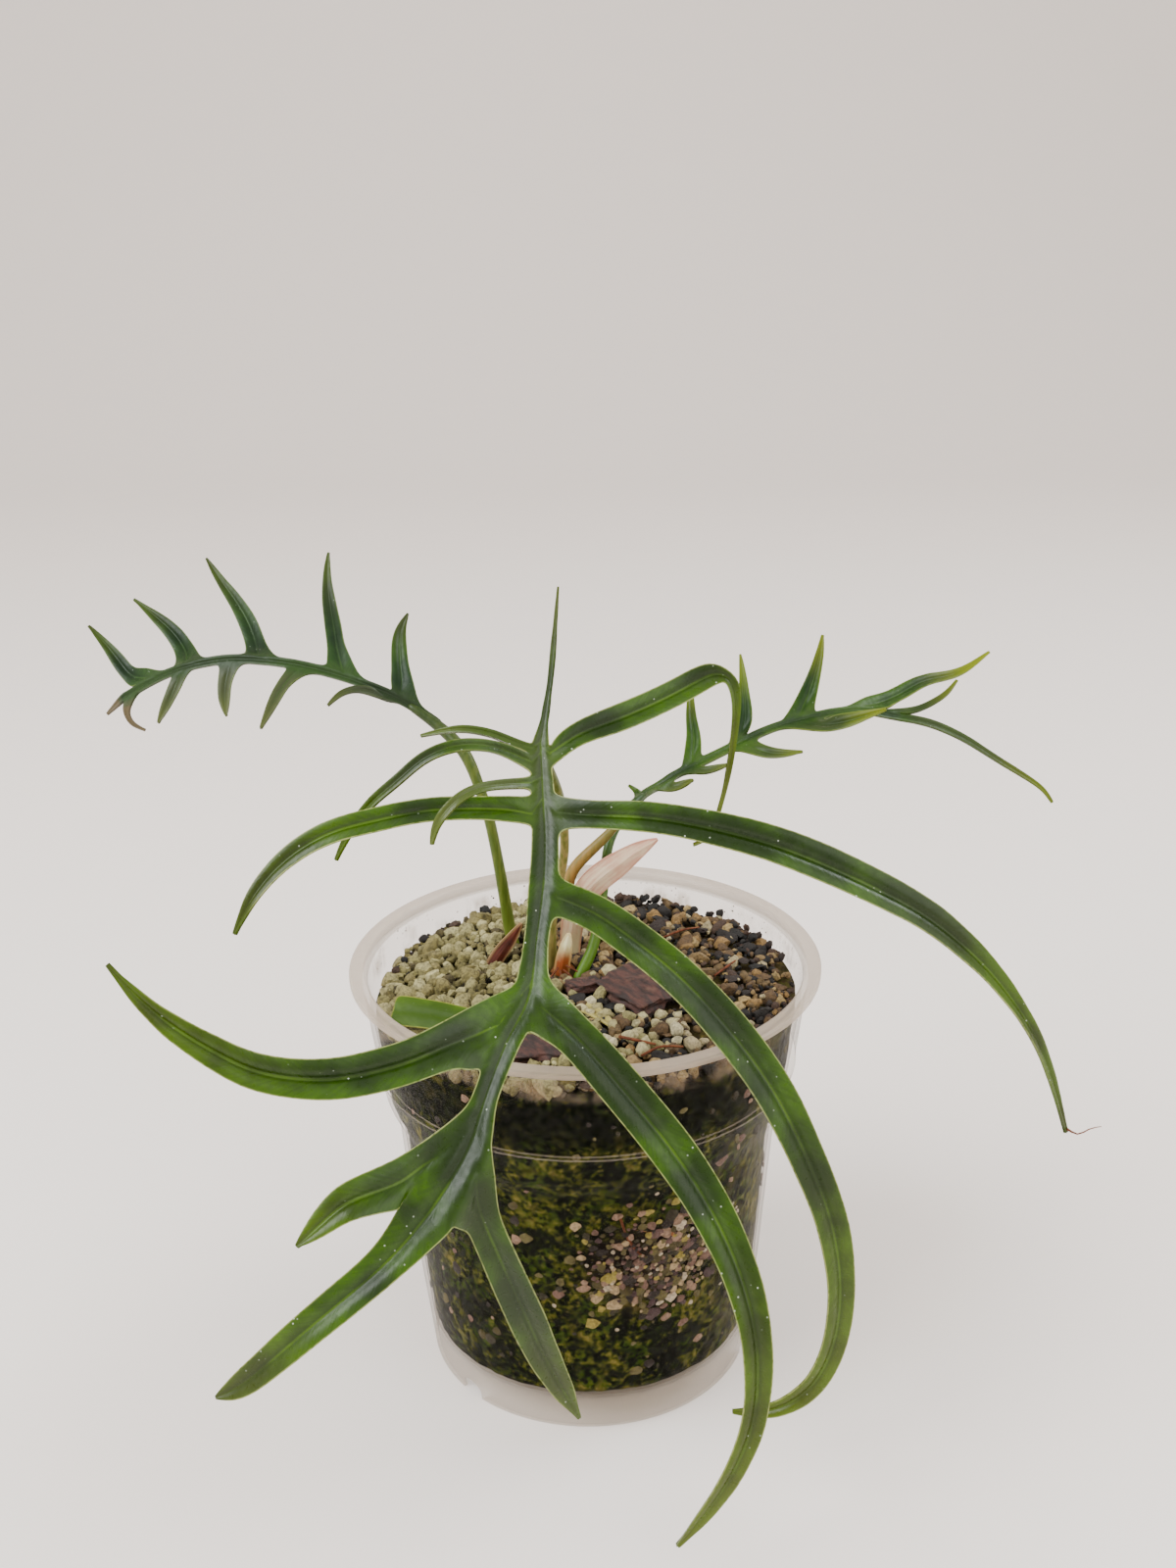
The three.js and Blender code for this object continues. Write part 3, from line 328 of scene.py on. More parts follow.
class Cage:
    """A mesh that grows row by row: a grid or a ring is extruded, and each new row is put in its place."""

    def __init__(self, name: str, rows: Sequence[Sequence[Vector]], ring: bool = False) -> None:
        """Lays the rows of points, as an open strip or as a closed tube.

        Args:
            name: The piece's name.
            rows: Places of each row, in millimetres.
            ring: Whether the last point of a row joins its first.
        """
        count = len(rows[0])
        if ring:
            self.thing = added(
                bpy.ops.mesh.primitive_circle_add, vertices=count, radius=1, fill_type="NOTHING")
            self.rows = [list(range(count))]
        else:
            self.thing = added(
                bpy.ops.mesh.primitive_grid_add, x_subdivisions=count - 1, y_subdivisions=1, size=1)
            self.rows = [list(range(count)), list(range(count, 2 * count))]
        self.thing.name = name
        self.ring = ring
        bpy.ops.object.mode_set(mode="EDIT")
        bpy.ops.mesh.select_mode(type="VERT")
        for row, places in zip(self.rows, rows):
            self.put(row, places)
        for places in rows[len(self.rows):]:
            self.rows.append(self.extend(self.rows[-1], places))

    def net(self) -> bmesh.types.BMesh:
        """The edited mesh with its tables up to date."""
        net = bmesh.from_edit_mesh(self.thing.data)
        net.verts.index_update()
        net.verts.ensure_lookup_table()
        return net

    def put(self, points: Iterable[int], places: Sequence[Vector]) -> None:
        """Move points to places in millimetres."""
        net = self.net()
        for index, place in zip(points, places):
            net.verts[index].co = Vector(place) * MM

    def extend(self, row: Sequence[int], places: Sequence[Vector]) -> list[int]:
        """Extrude a row of points.

        Args:
            row: The points of the row, in order.
            places: Where the new points go, in the same order.

        Returns:
            The new points.
        """
        bpy.ops.mesh.select_all(action="DESELECT")
        net = self.net()
        chosen = [net.verts[index] for index in row]
        for vert in chosen:
            vert.select = True
        ends = zip(chosen, chosen[1:] + (chosen[:1] if self.ring else []))
        for first, second in ends:
            edge = net.edges.get((first, second))
            edge.select = True
        bpy.ops.mesh.extrude_edges_indiv()
        net = self.net()
        known = set(row)
        fresh = {}
        for vert in net.verts:
            if vert.select:
                old = [edge.other_vert(vert).index for edge in vert.link_edges]
                fresh[next(index for index in old if index in known)] = vert.index
        made = [fresh[index] for index in row]
        self.put(made, places)
        return made

    def close(self) -> None:
        """Fill the first and the last row with one face each."""
        for row in (self.rows[0], self.rows[-1]):
            bpy.ops.mesh.select_all(action="DESELECT")
            net = self.net()
            for index in row:
                net.verts[index].select = True
            net.select_flush(True)
            bpy.ops.mesh.edge_face_add()

    def sort(self) -> None:
        """Put edges and faces in the order of their points, so that each run gives the same mesh."""
        net = self.net()
        size = len(net.verts)

        def rank(element: Union[bmesh.types.BMEdge, bmesh.types.BMFace]) -> float:
            """Place in the order: by the two first points, then by the last."""
            points = sorted(vert.index for vert in element.verts)
            return float(points[0] * size + points[1] + points[-1] / (size + 1))
        net.edges.sort(key=rank)
        net.faces.sort(key=rank)
        bmesh.update_edit_mesh(self.thing.data)

    def done(self, outward: bool = False) -> bpy.types.Object:
        """Leave edit mode and hand back the object."""
        self.sort()
        if outward:
            bpy.ops.mesh.select_all(action="SELECT")
            bpy.ops.mesh.normals_make_consistent(inside=False)
        bpy.ops.object.mode_set(mode="OBJECT")
        return self.thing


class Midline:
    """A smooth line through stations of x, y, z and half width, read by the distance along it."""

    STEPS = 12

    def __init__(self, stations: Sequence[Station]) -> None:
        """Measures the line."""
        self.stations = [tuple(station) for station in stations]
        self.points = [Vector(station[:3]) for station in stations]
        self.reach = [0.0]
        fine = self.STEPS * (len(stations) - 1)
        last = self.curve(0.0)
        for index in range(1, fine + 1):
            after = self.curve(index / fine)
            self.reach.append(self.reach[-1] + (after - last).length)
            last = after
        self.length = self.reach[-1]

    def curve(self, share: float) -> Vector:
        """Point at a share of the line's own parameter."""
        count = len(self.points)
        place = min(max(share, 0.0), 1.0) * (count - 1)
        index = min(int(place), count - 2)
        part = place - index
        near, far = self.points[index], self.points[index + 1]
        before = self.points[index - 1] if index else near * 2 - far
        after = self.points[index + 2] if index + 2 < count else far * 2 - near
        gaps = [math.sqrt((b - a).length) or 1.0 for a, b in ((before, near), (near, far), (far, after))]
        first = (near - before) / gaps[0] - (far - before) / (gaps[0] + gaps[1]) + (far - near) / gaps[1]
        second = (far - near) / gaps[1] - (after - near) / (gaps[1] + gaps[2]) + (after - far) / gaps[2]
        first, second = first * gaps[1], second * gaps[1]
        square = near * -3 + far * 3 - first * 2 - second
        cube = near * 2 - far * 2 + first + second
        return near + first * part + square * part ** 2 + cube * part ** 3

    def at(self, distance: float) -> tuple[Vector, Vector, float]:
        """Point, direction and half width at a distance."""
        fine = len(self.reach) - 1
        index = 1
        while index < fine and self.reach[index] < distance:
            index += 1
        step = self.reach[index] - self.reach[index - 1]
        share = min(max((index - 1 + (distance - self.reach[index - 1]) / step) / fine, 0.0), 1.0)
        travel = (self.curve(share + 1e-4) - self.curve(share - 1e-4)).normalized()
        place = share * (len(self.stations) - 1)
        index = min(int(place), len(self.stations) - 2)
        half = mix(self.stations[index][3], self.stations[index + 1][3], smooth(place - index))
        return self.curve(share), travel, half


def turns_of(count: int) -> list[float]:
    """Angles that share a full turn."""
    return [2 * math.pi * index / count for index in range(count)]


def square_to(facing: Vector, travel: Vector) -> Vector:
    """Facing, turned square to the direction of travel."""
    return (facing - travel * facing.dot(travel)).normalized()


def tube(name: str, stations: Sequence[Station], sides: int = 12, step: float = 4.0) -> bpy.types.Object:
    """Round stalk along stations.

    Args:
        name: The piece's name.
        stations: x, y, z and radius of each station.
        sides: How many points a ring has.
        step: Distance between rings.

    Returns:
        The stalk, which keeps its share along the line as "tip".
    """
    line = Midline(stations)
    count = max(3, round(line.length / step))
    across = Vector((1, 0.2, 0.1))
    rings = []
    for index in range(count + 1):
        point, travel, radius = line.at(line.length * index / count)
        across = square_to(across, travel)
        other = travel.cross(across)
        rings.append([point + (across * math.cos(turn) + other * math.sin(turn)) * radius
                      for turn in turns_of(sides)])
    cage = Cage(name, rings, ring=True)
    cage.close()
    stalk = cage.done(outward=True)
    along = np.zeros(len(stalk.data.vertices))
    for index, row in enumerate(cage.rows):
        along[row] = index / count
    store(stalk, "tip", along)
    shade(stalk)
    return stalk


# Leaf blades


@dataclass(frozen=True)
class Lobe:
    """One lobe of a blade, with the stretch of the rachis that it grows from."""

    side: int
    root: tuple[float, float]
    along: float
    facing: tuple[float, float, float]
    path: Sequence[Station]
    tone: float = 0.0
    ripe: float = 0.15


class Sheet:
    """A blade's upper face: a rachis strip whose side edges carry lobes, with notes on each point."""

    COLUMNS = (-1.0, -0.55, 0.0, 0.55, 1.0)
    STEP = 4.5
    LEAST_STEP = 0.35
    LEAST_HALF = 0.3
    BLOOM_REACH = 34.0
    RIB_CREASE = 0.75
    QUARTERS = (0.0, 0.25, 0.5, 0.75, 1.0)
    BRANCH_STEPS = 24

    def __init__(self, name: str, rachis: Sequence[Station], facing: Sequence[Sequence[float]],
                 lobes: Sequence[Lobe] = (), fold: float = 0.25, bulge: float = 0.12, tone: float = 0.0,
                 bloom: float = 0.0) -> None:
        """Grows the whole cage.

        Args:
            name: The piece's name.
            rachis: Stations of the rachis.
            facing: The way that the face looks at the start and at the end.
            lobes: The lobes, in order.
            fold: How far the side edges rise over the midrib, as a share of the half width.
            bulge: How far the wings stand out between midrib and edge, as a share of the half width.
            tone: Share of the paler tone of the rachis itself.
            bloom: The same at the rachis' start.
        """
        self.name = name
        self.fold = fold
        self.bulge = bulge
        self.tone = tone
        self.bloom = bloom
        self.line = Midline(rachis)
        self.facings = [Vector(way) for way in facing]
        self.notes: dict[int, tuple[float, ...]] = {}
        self.branches: list[tuple[Vector, Vector]] = []
        self.lay_rachis(lobes)
        for lobe in lobes:
            self.grow(lobe)

    def lay_rachis(self, lobes: Sequence[Lobe]) -> None:
        """Lay the strip of the rachis, with rows where the lobes begin and end."""
        marks = {0.0, self.line.length}
        for lobe in lobes:
            if lobe.side:
                start, end = lobe.root[0], min(lobe.root[1], self.line.length)
                marks.update(mix(start, end, share) for share in self.QUARTERS)
        self.distances = [0.0]
        for mark in sorted(marks)[1:]:
            last = self.distances[-1]
            if mark - last < self.LEAST_STEP:
                continue
            extra = int((mark - last) / self.STEP)
            self.distances += [mix(last, mark, (k + 1) / (extra + 1)) for k in range(extra + 1)]
        places = [self.row_at(*self.line.at(distance), distance) for distance in self.distances]
        self.cage = Cage(self.name, places)
        self.rows = self.cage.rows
        for row, distance in zip(self.rows, self.distances):
            half = self.line.at(distance)[2]
            tone = mix(self.bloom, self.tone, smooth(distance / self.BLOOM_REACH))
            for index, across in zip(row, self.COLUMNS):
                self.notes[index] = (abs(across), 0.0, tone, 0.0, distance, half)
        self.ribs = [[row[2] for row in self.rows]]
        self.centres = [place[2] for place in places]
        self.edges = {1: [place[-1] for place in places], -1: [place[0] for place in places]}

    def row_at(self, point: Vector, travel: Vector, half: float, distance: float) -> list[Vector]:
        """Places of one row of the rachis."""
        facing = square_to(self.facings[0].lerp(self.facings[-1], distance / self.line.length), travel)
        right = travel.cross(facing)
        return [point + right * (across * half) + facing * self.lift(abs(across), half)
                for across in self.COLUMNS]

    def lift(self, across: float, half: float) -> float:
        """Height of the face over the midrib."""
        return half * (self.fold * across + self.bulge * 4 * across * (1 - across))

    def run(self, lobe: Lobe) -> tuple[list[int], list[Vector]]:
        """Points of the rachis that a lobe grows from, from its left to its right.

        Args:
            lobe: The lobe.

        Returns:
            The points and their places.
        """
        if lobe.side == 0:
            row = self.rows[-1] if lobe.along > 0.5 else self.rows[0][::-1]
            distance = self.line.length if lobe.along > 0.5 else 0.0
            places = self.row_at(*self.line.at(distance), distance)
            return row, places if lobe.along > 0.5 else places[::-1]

        def near(mark: float) -> int:
            """Row whose distance is nearest to a mark."""
            gaps = [abs(distance - mark) for distance in self.distances]
            return gaps.index(min(gaps))
        chosen = list(range(near(lobe.root[0]), near(lobe.root[1]) + 1))
        if lobe.side > 0:
            chosen.reverse()
        column = 4 if lobe.side > 0 else 0
        return [self.rows[i][column] for i in chosen], [self.edges[lobe.side][i] for i in chosen]

    def grow(self, lobe: Lobe) -> None:
        """Extrude one lobe from its root run to its tip."""
        run, places = self.run(lobe)
        centre = (places[0] + places[-1]) / 2
        root_half = (places[-1] - places[0]).length / 2
        root_right = (places[-1] - places[0]).normalized()
        line = Midline([(*centre, root_half), *lobe.path])
        middle = (len(run) - 1) // 2
        beyond = len(run) - 1 - middle
        spread = [j / middle - 1 if j <= middle else (j - middle) / beyond for j in range(len(run))]
        start = self.facings[0].lerp(self.facings[-1], lobe.along)
        count = max(3, round(line.length / self.STEP))
        row = run
        rib = [run[middle]]
        for index in range(1, count + 1):
            share = index / count
            point, travel, half = line.at(line.length * share)
            facing = square_to(start.lerp(Vector(lobe.facing), share), travel)
            settled = smooth(line.length * share / (1.6 * root_half + 1))
            right = root_right.lerp(travel.cross(facing), settled).normalized()
            half = max(half, self.LEAST_HALF)
            row = self.cage.extend(row, [
                point + right * (across * half) + facing * (settled * self.lift(abs(across), half))
                for across in spread])
            for point_index, across in zip(row, spread):
                reach = sum(lobe.root) / 2 + line.length * share
                self.notes[point_index] = (abs(across), share, lobe.tone, lobe.ripe, reach, half)
            rib.append(row[middle])
        self.ribs.append(rib)
        if lobe.side:
            mark = sum(lobe.root) / 2
            gaps = [abs(distance - max(mark - 1.2 * root_half, 0)) for distance in self.distances]
            self.branches.append((self.centres[gaps.index(min(gaps))], places[middle]))

    def finished(self, levels: int = 2, ripple: float = 0.18, seed: float = 0.0) -> bpy.types.Object:
        """Refine the cage and note on each point how far the edge and the midrib are.

        Args:
            levels: How often the faces are split in four.
            ripple: Height of the waves.
            seed: Where the waves' noise is read.

        Returns:
            The face, still without thickness.
        """
        thing = self.cage.done()
        notes = np.array([self.notes[i] for i in range(len(thing.data.vertices))])
        for column, name in enumerate(("across", "tip", "tone", "ripe", "reach", "half")):
            store(thing, name, notes[:, column])
        rib_pairs = {frozenset(pair) for rib in self.ribs for pair in zip(rib, rib[1:])}
        crease = thing.data.attributes.new("crease_edge", "FLOAT", "EDGE")
        crease.data.foreach_set("value", [
            self.RIB_CREASE if frozenset(edge.vertices) in rib_pairs else 0.0
            for edge in thing.data.edges])
        rib_mark = thing.data.attributes.new("midrib", "FLOAT", "POINT")
        on_rib = np.zeros(len(thing.data.vertices), np.float32)
        on_rib[[index for rib in self.ribs for index in rib]] = 1
        rib_mark.data.foreach_set("value", on_rib)
        refine(thing, levels)
        self.measure(thing)
        self.undulate(thing, ripple, seed)
        return thing

    def measure(self, thing: bpy.types.Object) -> None:
        """Store the distances to the edge and to the nearest midrib."""
        places = points_of(thing)
        net = bmesh.new()
        net.from_mesh(thing.data)
        on_rib = stored(thing, "midrib") > 0.98
        rim, ribs = [], []
        for edge in net.edges:
            first, second = (places[vert.index] for vert in edge.verts)
            along = [mix(first, second, share) for share in self.QUARTERS]
            if edge.is_boundary:
                rim += along
            if all(on_rib[vert.index] for vert in edge.verts):
                ribs += along
        net.free()
        for first, second in self.branches:
            ribs += [np.array(first.lerp(second, step / self.BRANCH_STEPS))
                     for step in range(self.BRANCH_STEPS + 1)]
        for name, marks in (("margin", rim), ("rib", ribs)):
            tree = kdtree.KDTree(len(marks))
            for index, mark in enumerate(marks):
                tree.insert(mark, index)
            tree.balance()
            store(thing, name, [tree.find(place)[2] for place in places])

    def undulate(self, thing: bpy.types.Object, ripple: float, seed: float) -> None:
        """Give the wings slight waves and sink the midrib."""
        places = points_of(thing)
        normals = np.empty(len(places) * 3, np.float32)
        thing.data.vertices.foreach_get("normal", normals)
        across = stored(thing, "across")
        rib = stored(thing, "rib")
        shift = Vector((seed, seed * 0.7, 3.1))
        waves = np.array([
            noise.noise(Vector(place) * 0.09 + shift) + 0.4 * noise.noise(Vector(place) * 0.3 + shift)
            for place in places])
        half = stored(thing, "half")
        sink = -0.065 * half * np.exp(-(rib / (0.12 + 0.22 * half)) ** 2)
        move_points(thing, places + normals.reshape(-1, 3) * (ripple * waves * across + sink)[:, None])

    def thicken(self, thing: bpy.types.Object, thick: float, least: float = 0.3,
                spread: float = 1.6) -> None:
        """Give the sheet its thickness, greatest under the midrib.

        Args:
            thing: The sheet.
            thick: Thickness under the midrib at the foot.
            least: Share of it that is left far from the midrib and at the tips.
            spread: How wide the thick part is.
        """
        rib, tip = stored(thing, "rib"), stored(thing, "tip")
        group = thing.vertex_groups.new(name="thickness")
        for index, (gap, along) in enumerate(zip(rib, tip)):
            weight = least + (1 - least) * (1 - 0.75 * along) * math.exp(-(gap / spread) ** 2)
            group.add([index], weight, "REPLACE")
        modify(thing, "SOLIDIFY", thickness=thick * MM, offset=-1, vertex_group="thickness",
               material_offset=1, material_offset_rim=0)
        thing.vertex_groups.clear()


# Finishes


@dataclass(frozen=True)
class LeafFinish:
    """A waxy leaf face, with a sunken midrib that has painted shade along it, a pale edge and tips that
    ripen.
    """

    name: str
    deep: Colour
    bright: Colour
    pale: Colour
    ripe: Colour
    edge: Colour
    rib: Colour
    dry: Colour = rgb(84, 74, 52)
    speck: Colour = rgb(190, 200, 185)
    rough: float = 0.3
    specks: float = 0.7
    gloss: float = 0.22

    def make(self) -> bpy.types.Material:
        """Build the material."""
        graph = Graph(self.name)
        broad = graph.noise(16, 3)
        fine = graph.noise(1.3, 4)
        gap = graph.attribute("rib")
        wide = graph.attribute("half").band(0.9, 2.4)
        slant = graph.node("ShaderNodeCombineXYZ", {}, {
            0: (graph.attribute("reach") - gap * 1.6) * 0.9, 1: gap * 0.12})
        veins = graph.noise(1 / MM, 2, slant.outputs[0])
        # Broad random tone, plus painted shade: the across term darkens the wings towards the midrib groove
        # and lightens them towards the margins.
        light = broad.band(0.32, 0.68) * 0.75 + graph.attribute("across").band(0.35, 1.0) * 0.25
        base = graph.blend(light.band(0, 1), self.deep, self.bright)
        base = graph.blend(veins.band(0.42, 0.62) * 0.22, base, self.deep)
        base = graph.blend(fine.band(0.35, 0.68) * 0.22, base, self.deep)
        base = graph.blend(graph.attribute("tone"), base, self.pale)
        base = graph.blend(graph.attribute("tone").band(1.2, 1.8), base, self.dry)
        ripe = (graph.attribute("tip") + broad * 0.3 - 0.15).band(0.35, 1.05) * graph.attribute("ripe")
        base = graph.blend(ripe, base, self.ripe)
        # Painted shade in the sunken midrib: a darker band along each midrib.
        base = graph.blend(gap.band(1.3, 0.2) * wide * 0.25, base, self.deep)
        base = graph.blend(gap.band(0.34, 0.1) * wide * broad.band(0.38, 0.62, 0.05, 0.45), base, self.rib)
        edge = graph.attribute("margin").band(0.34, 0.12) * wide * fine.band(0.3, 0.6, 0.25, 0.7)
        base = graph.blend(edge, base, self.edge)
        speck = graph.cells(2.2).band(0.11, 0.05) * graph.noise(9, 1).band(0.48, 0.62) * self.specks
        base = graph.blend(speck, base, self.speck)
        surface = graph.surface(
            Base_Color=base,
            Roughness=fine.band(0.3, 0.7, self.rough - 0.05, self.rough + 0.12) + speck * 0.3,
            Normal=graph.bump(fine * 0.3 + graph.noise(4, 2) * 1.6 + veins, 0.22, 0.3),
            Coat_Weight=self.gloss * 0.4, Coat_Roughness=0.22, Specular_IOR_Level=self.gloss)
        return graph.finish(surface.outputs[0])


@dataclass(frozen=True)
class StalkFinish:
    """A petiole or a rolled leaf: two tones in streaks along it, and another tone at its foot."""

    name: str
    base: Colour
    streak: Colour
    foot: Colour
    head: Colour
    reach: float = 0.35
    rough: float = 0.38

    def make(self) -> bpy.types.Material:
        """Build the material."""
        graph = Graph(self.name)
        streaks = graph.noise(1.1, 3, graph.place((1, 1, 9)))
        colour = graph.blend(streaks.band(0.35, 0.65), self.base, self.streak)
        along = graph.attribute("tip")
        colour = graph.blend(along.band(self.reach, 0.02), colour, self.foot)
        colour = graph.blend(along.band(0.55, 0.95) * 0.8, colour, self.head)
        surface = graph.surface(
            Base_Color=colour, Roughness=streaks.band(0.3, 0.7, self.rough, self.rough + 0.15),
            Normal=graph.bump(streaks, 0.2, 0.4), Coat_Weight=0.05, Specular_IOR_Level=0.25)
        return graph.finish(surface.outputs[0])


@dataclass(frozen=True)
class SkinFinish:
    """A thin dry or papery skin, streaked along its length, with another tone at its foot and edge."""

    name: str
    body: Colour
    streak: Colour
    foot: Colour
    edge: Colour
    reach: float = 0.4
    rough: float = 0.55
    glow: float = 0.0

    def make(self) -> bpy.types.Material:
        """Build the material."""
        graph = Graph(self.name)
        sideways = graph.attribute("across") * graph.attribute("half")
        along = graph.node("ShaderNodeCombineXYZ", {}, {
            0: sideways * 1.6, 1: graph.attribute("reach") * 0.12})
        streaks = graph.noise(1 / MM, 4, along.outputs[0])
        blotch = graph.noise(4, 3)
        colour = graph.blend((streaks * 0.5 + blotch * 0.5).band(0.38, 0.62), self.body, self.streak)
        foot = (graph.attribute("tip") + blotch * 0.3 - 0.15).band(self.reach, self.reach - 0.42)
        colour = graph.blend(foot, colour, self.foot)
        colour = graph.blend(graph.attribute("margin").band(0.8, 0.15) * 0.55, colour, self.edge)
        surface = graph.surface(
            Base_Color=colour, Roughness=blotch.band(0.3, 0.7, self.rough - 0.1, self.rough + 0.15),
            Normal=graph.bump(streaks + blotch * 0.5, 0.3, 0.6), Subsurface_Weight=self.glow,
            Subsurface_Radius=(0.003, 0.0015, 0.001))
        return graph.finish(surface.outputs[0])


@dataclass(frozen=True)
class GrainFinish:
    """Loose grains: each has its own tint from a row of tones, with pores and dust in a dark colour that is
    partly soil and partly painted shade.
    """

    name: str
    tones: tuple[Colour, ...]
    # Dark colour of the pores and blotches: soil on the grains, and also painted shade in the pores and the
    # gaps between grains.
    dirt: Colour
    pores: float = 0.5

    def make(self) -> bpy.types.Material:
        """Build the material."""
        graph = Graph(self.name)
        stops = [(index / len(self.tones), tone) for index, tone in enumerate(self.tones)]
        colour = graph.ramp(graph.attribute("tint"), stops, "CONSTANT")
        fine = graph.noise(0.7, 4)
        broad = graph.noise(3.0, 3)
        # Painted shade in the pores, and dark blotches that are partly soil and partly painted shade of the
        # gaps between grains.
        colour = graph.blend(fine.band(0.42, 0.62) * self.pores, colour, self.dirt)
        colour = graph.blend(broad.band(0.5, 0.75) * 0.45, colour, self.dirt)
        surface = graph.surface(Base_Color=colour, Roughness=broad.band(0.3, 0.7, 0.75, 0.95),
                                Normal=graph.bump(fine, 0.5, 0.9))
        return graph.finish(surface.outputs[0])


@dataclass(frozen=True)
class BarkFinish:
    """Flaky bark with grain along its length."""

    name: str
    body: Colour
    dark: Colour
    dust: Colour

    def make(self) -> bpy.types.Material:
        """Build the material."""
        graph = Graph(self.name)
        grain = graph.noise(1.4, 5, graph.place((4, 1, 1), (0, 0, math.radians(-52))))
        patch = graph.noise(4, 3)
        colour = graph.blend(grain.band(0.35, 0.62), self.body, self.dark)
        colour = graph.blend(patch.band(0.55, 0.75) * 0.5, colour, self.dust)
        surface = graph.surface(Base_Color=colour, Roughness=patch.band(0.3, 0.7, 0.7, 0.92),
                                Normal=graph.bump(grain + patch, 0.6, 0.8))
        return graph.finish(surface.outputs[0])


@dataclass(frozen=True)
class MixFinish:
    """Damp potting mix as it lies against the wall: moss, crumbs, a pebbly patch and tan dust."""

    name: str = "potting_mix"

    def make(self) -> bpy.types.Material:
        """Build the material."""
        graph = Graph(self.name)
        broad = graph.noise(13, 3, rough=0.6)
        middle = graph.noise(3.6, 3, rough=0.6)
        fine = graph.noise(1.5, 1.5)
        level = broad * 0.46 + middle * 0.42 + fine * 0.4
        colour = graph.ramp(level, [
            (0.56, rgb(2, 4, 1)), (0.62, rgb(8, 15, 2)), (0.655, rgb(30, 38, 5)),
            (0.71, rgb(66, 70, 13)), (0.79, rgb(108, 98, 44))])
        moss = graph.noise(8, 3, graph.place((1, 1, 1), (0.4, 0.2, 0))).band(0.52, 0.62)
        colour = graph.blend(moss * fine.band(0.42, 0.56) * 0.6, colour, rgb(48, 68, 6))
        specks = graph.cells(1.7).band(0.34, 0.16) * middle.band(0.46, 0.56)
        colour = graph.blend(specks * 0.45, colour, rgb(104, 98, 40))
        crumbs = graph.cells(3.2)
        colour = graph.blend(crumbs.band(0.45, 0.75) * 0.5, colour, rgb(5, 6, 3))
        east = (graph.along("X") + graph.along("Y") * 0.15).band(18, 44)
        streak = graph.noise(2.4, 4, graph.place((1.4, 1.4, 3), (0, math.radians(25), 0)))
        colour = graph.blend(east * streak.band(0.4, 0.64) * 0.5, colour, rgb(88, 82, 42))
        colour = graph.blend(self.patch(graph, (13, -45, 50), 18, 8) * 0.75, colour, rgb(30, 20, 18))
        height = graph.along("Z") + middle * 6
        colour = graph.blend(height.band(86, 94) * height.band(106, 101) * 0.85, colour, rgb(3, 6, 2))
        top = height.band(103.5, 107)
        colour = graph.blend(top * 0.6, colour, rgb(66, 52, 34))
        rough = graph.noise(2, 2).band(0.3, 0.7, 0.55, 0.95)
        surface = graph.surface(
            Base_Color=colour, Roughness=rough, Normal=graph.bump(crumbs * -1 + broad, 0.4, 0.2),
            Specular_IOR_Level=0.08)
        return graph.finish(surface.outputs[0])

    @staticmethod
    def patch(graph: Graph, centre: Sequence[float], outer: float, inner: float) -> Value:
        """Round patch about a point, with a ragged edge."""
        moved = graph.node("ShaderNodeVectorMath", {"operation": "DISTANCE"}, {
            0: graph.place(), 1: tuple(c * MM for c in centre)})
        away = Value(graph, moved.outputs["Value"]) * (1 / MM) + graph.noise(6, 3) * 12 - 6
        return away.band(outer, inner)


@dataclass(frozen=True)
class ClearPlastic:
    """Thin clear plastic that is a little frosted, milky at the rim, with dust above the mix."""

    name: str = "clear_pot"
    haze: float = 0.008
    rim_haze: float = 0.5
    skirt_haze: float = 0.16
    rim_height: float = 108.8

    def make(self) -> bpy.types.Material:
        """Build the material."""
        graph = Graph(self.name)
        height = graph.along("Z")
        cloud = graph.noise(12, 4)
        smear = graph.noise(2.5, 4, graph.place((1, 1, 3)))
        rim = height.band(self.rim_height, self.rim_height + 0.8)
        facing = graph.number("ShaderNodeLayerWeight", {}, {"Blend": 0.25}, "Facing")
        dust = height.band(101, 104) * height.band(109, 106)
        dust = dust * cloud.band(0.48, 0.64) * smear.band(0.35, 0.6)
        skirt = height.band(13, 8)
        body = cloud.band(0.3, 0.7, self.haze * 0.7, self.haze * 1.25) + skirt * self.skirt_haze
        dirt = height.band(102.5, 105) * height.band(110, 107) * graph.cells(1.5).band(0.24, 0.12)
        dirt = dirt * graph.noise(7, 3).band(0.5, 0.62)
        ring = height.band(85.5, 85.8) * height.band(86.4, 86.1)
        share = body + rim * self.rim_haze + facing ** 4 * 0.2 + dust * 0.3 + dirt + ring * 0.2
        # Painted shade: the haze is tinted dark where the mix stands behind the wall, and stays pale above
        # it and in the skirt.
        wall = height.band(105, 100) * height.band(8, 13)
        tint = graph.blend(wall * 0.85, rgb(186, 170, 150), rgb(70, 64, 54))
        tint = graph.blend(ring, tint, rgb(186, 170, 150))
        tint = graph.blend(dust, tint, rgb(160, 130, 88))
        tint = graph.blend(dirt, tint, rgb(40, 32, 20))
        milk = graph.surface(Base_Color=tint, Roughness=smear.band(0.3, 0.7, 0.3, 0.5), IOR=1.45,
                             Normal=graph.bump(smear, 0.1, 0.15))
        clear = graph.node("ShaderNodeBsdfTransparent", {}, {"Color": (0.95, 0.94, 0.925)})
        mixed = graph.node("ShaderNodeMixShader", {}, {
            0: share, 1: clear.outputs[0], 2: milk.outputs[0]})
        gloss = graph.node("ShaderNodeBsdfGlossy", {}, {"Color": (0.4, 0.4, 0.4), "Roughness": 0.4})
        grazing = graph.number("ShaderNodeLayerWeight", {}, {"Blend": 0.5}, "Facing")
        coated = graph.node("ShaderNodeMixShader", {}, {
            0: grazing ** 5 * 0.3, 1: mixed.outputs[0], 2: gloss.outputs[0]})
        return graph.finish(coated.outputs[0])


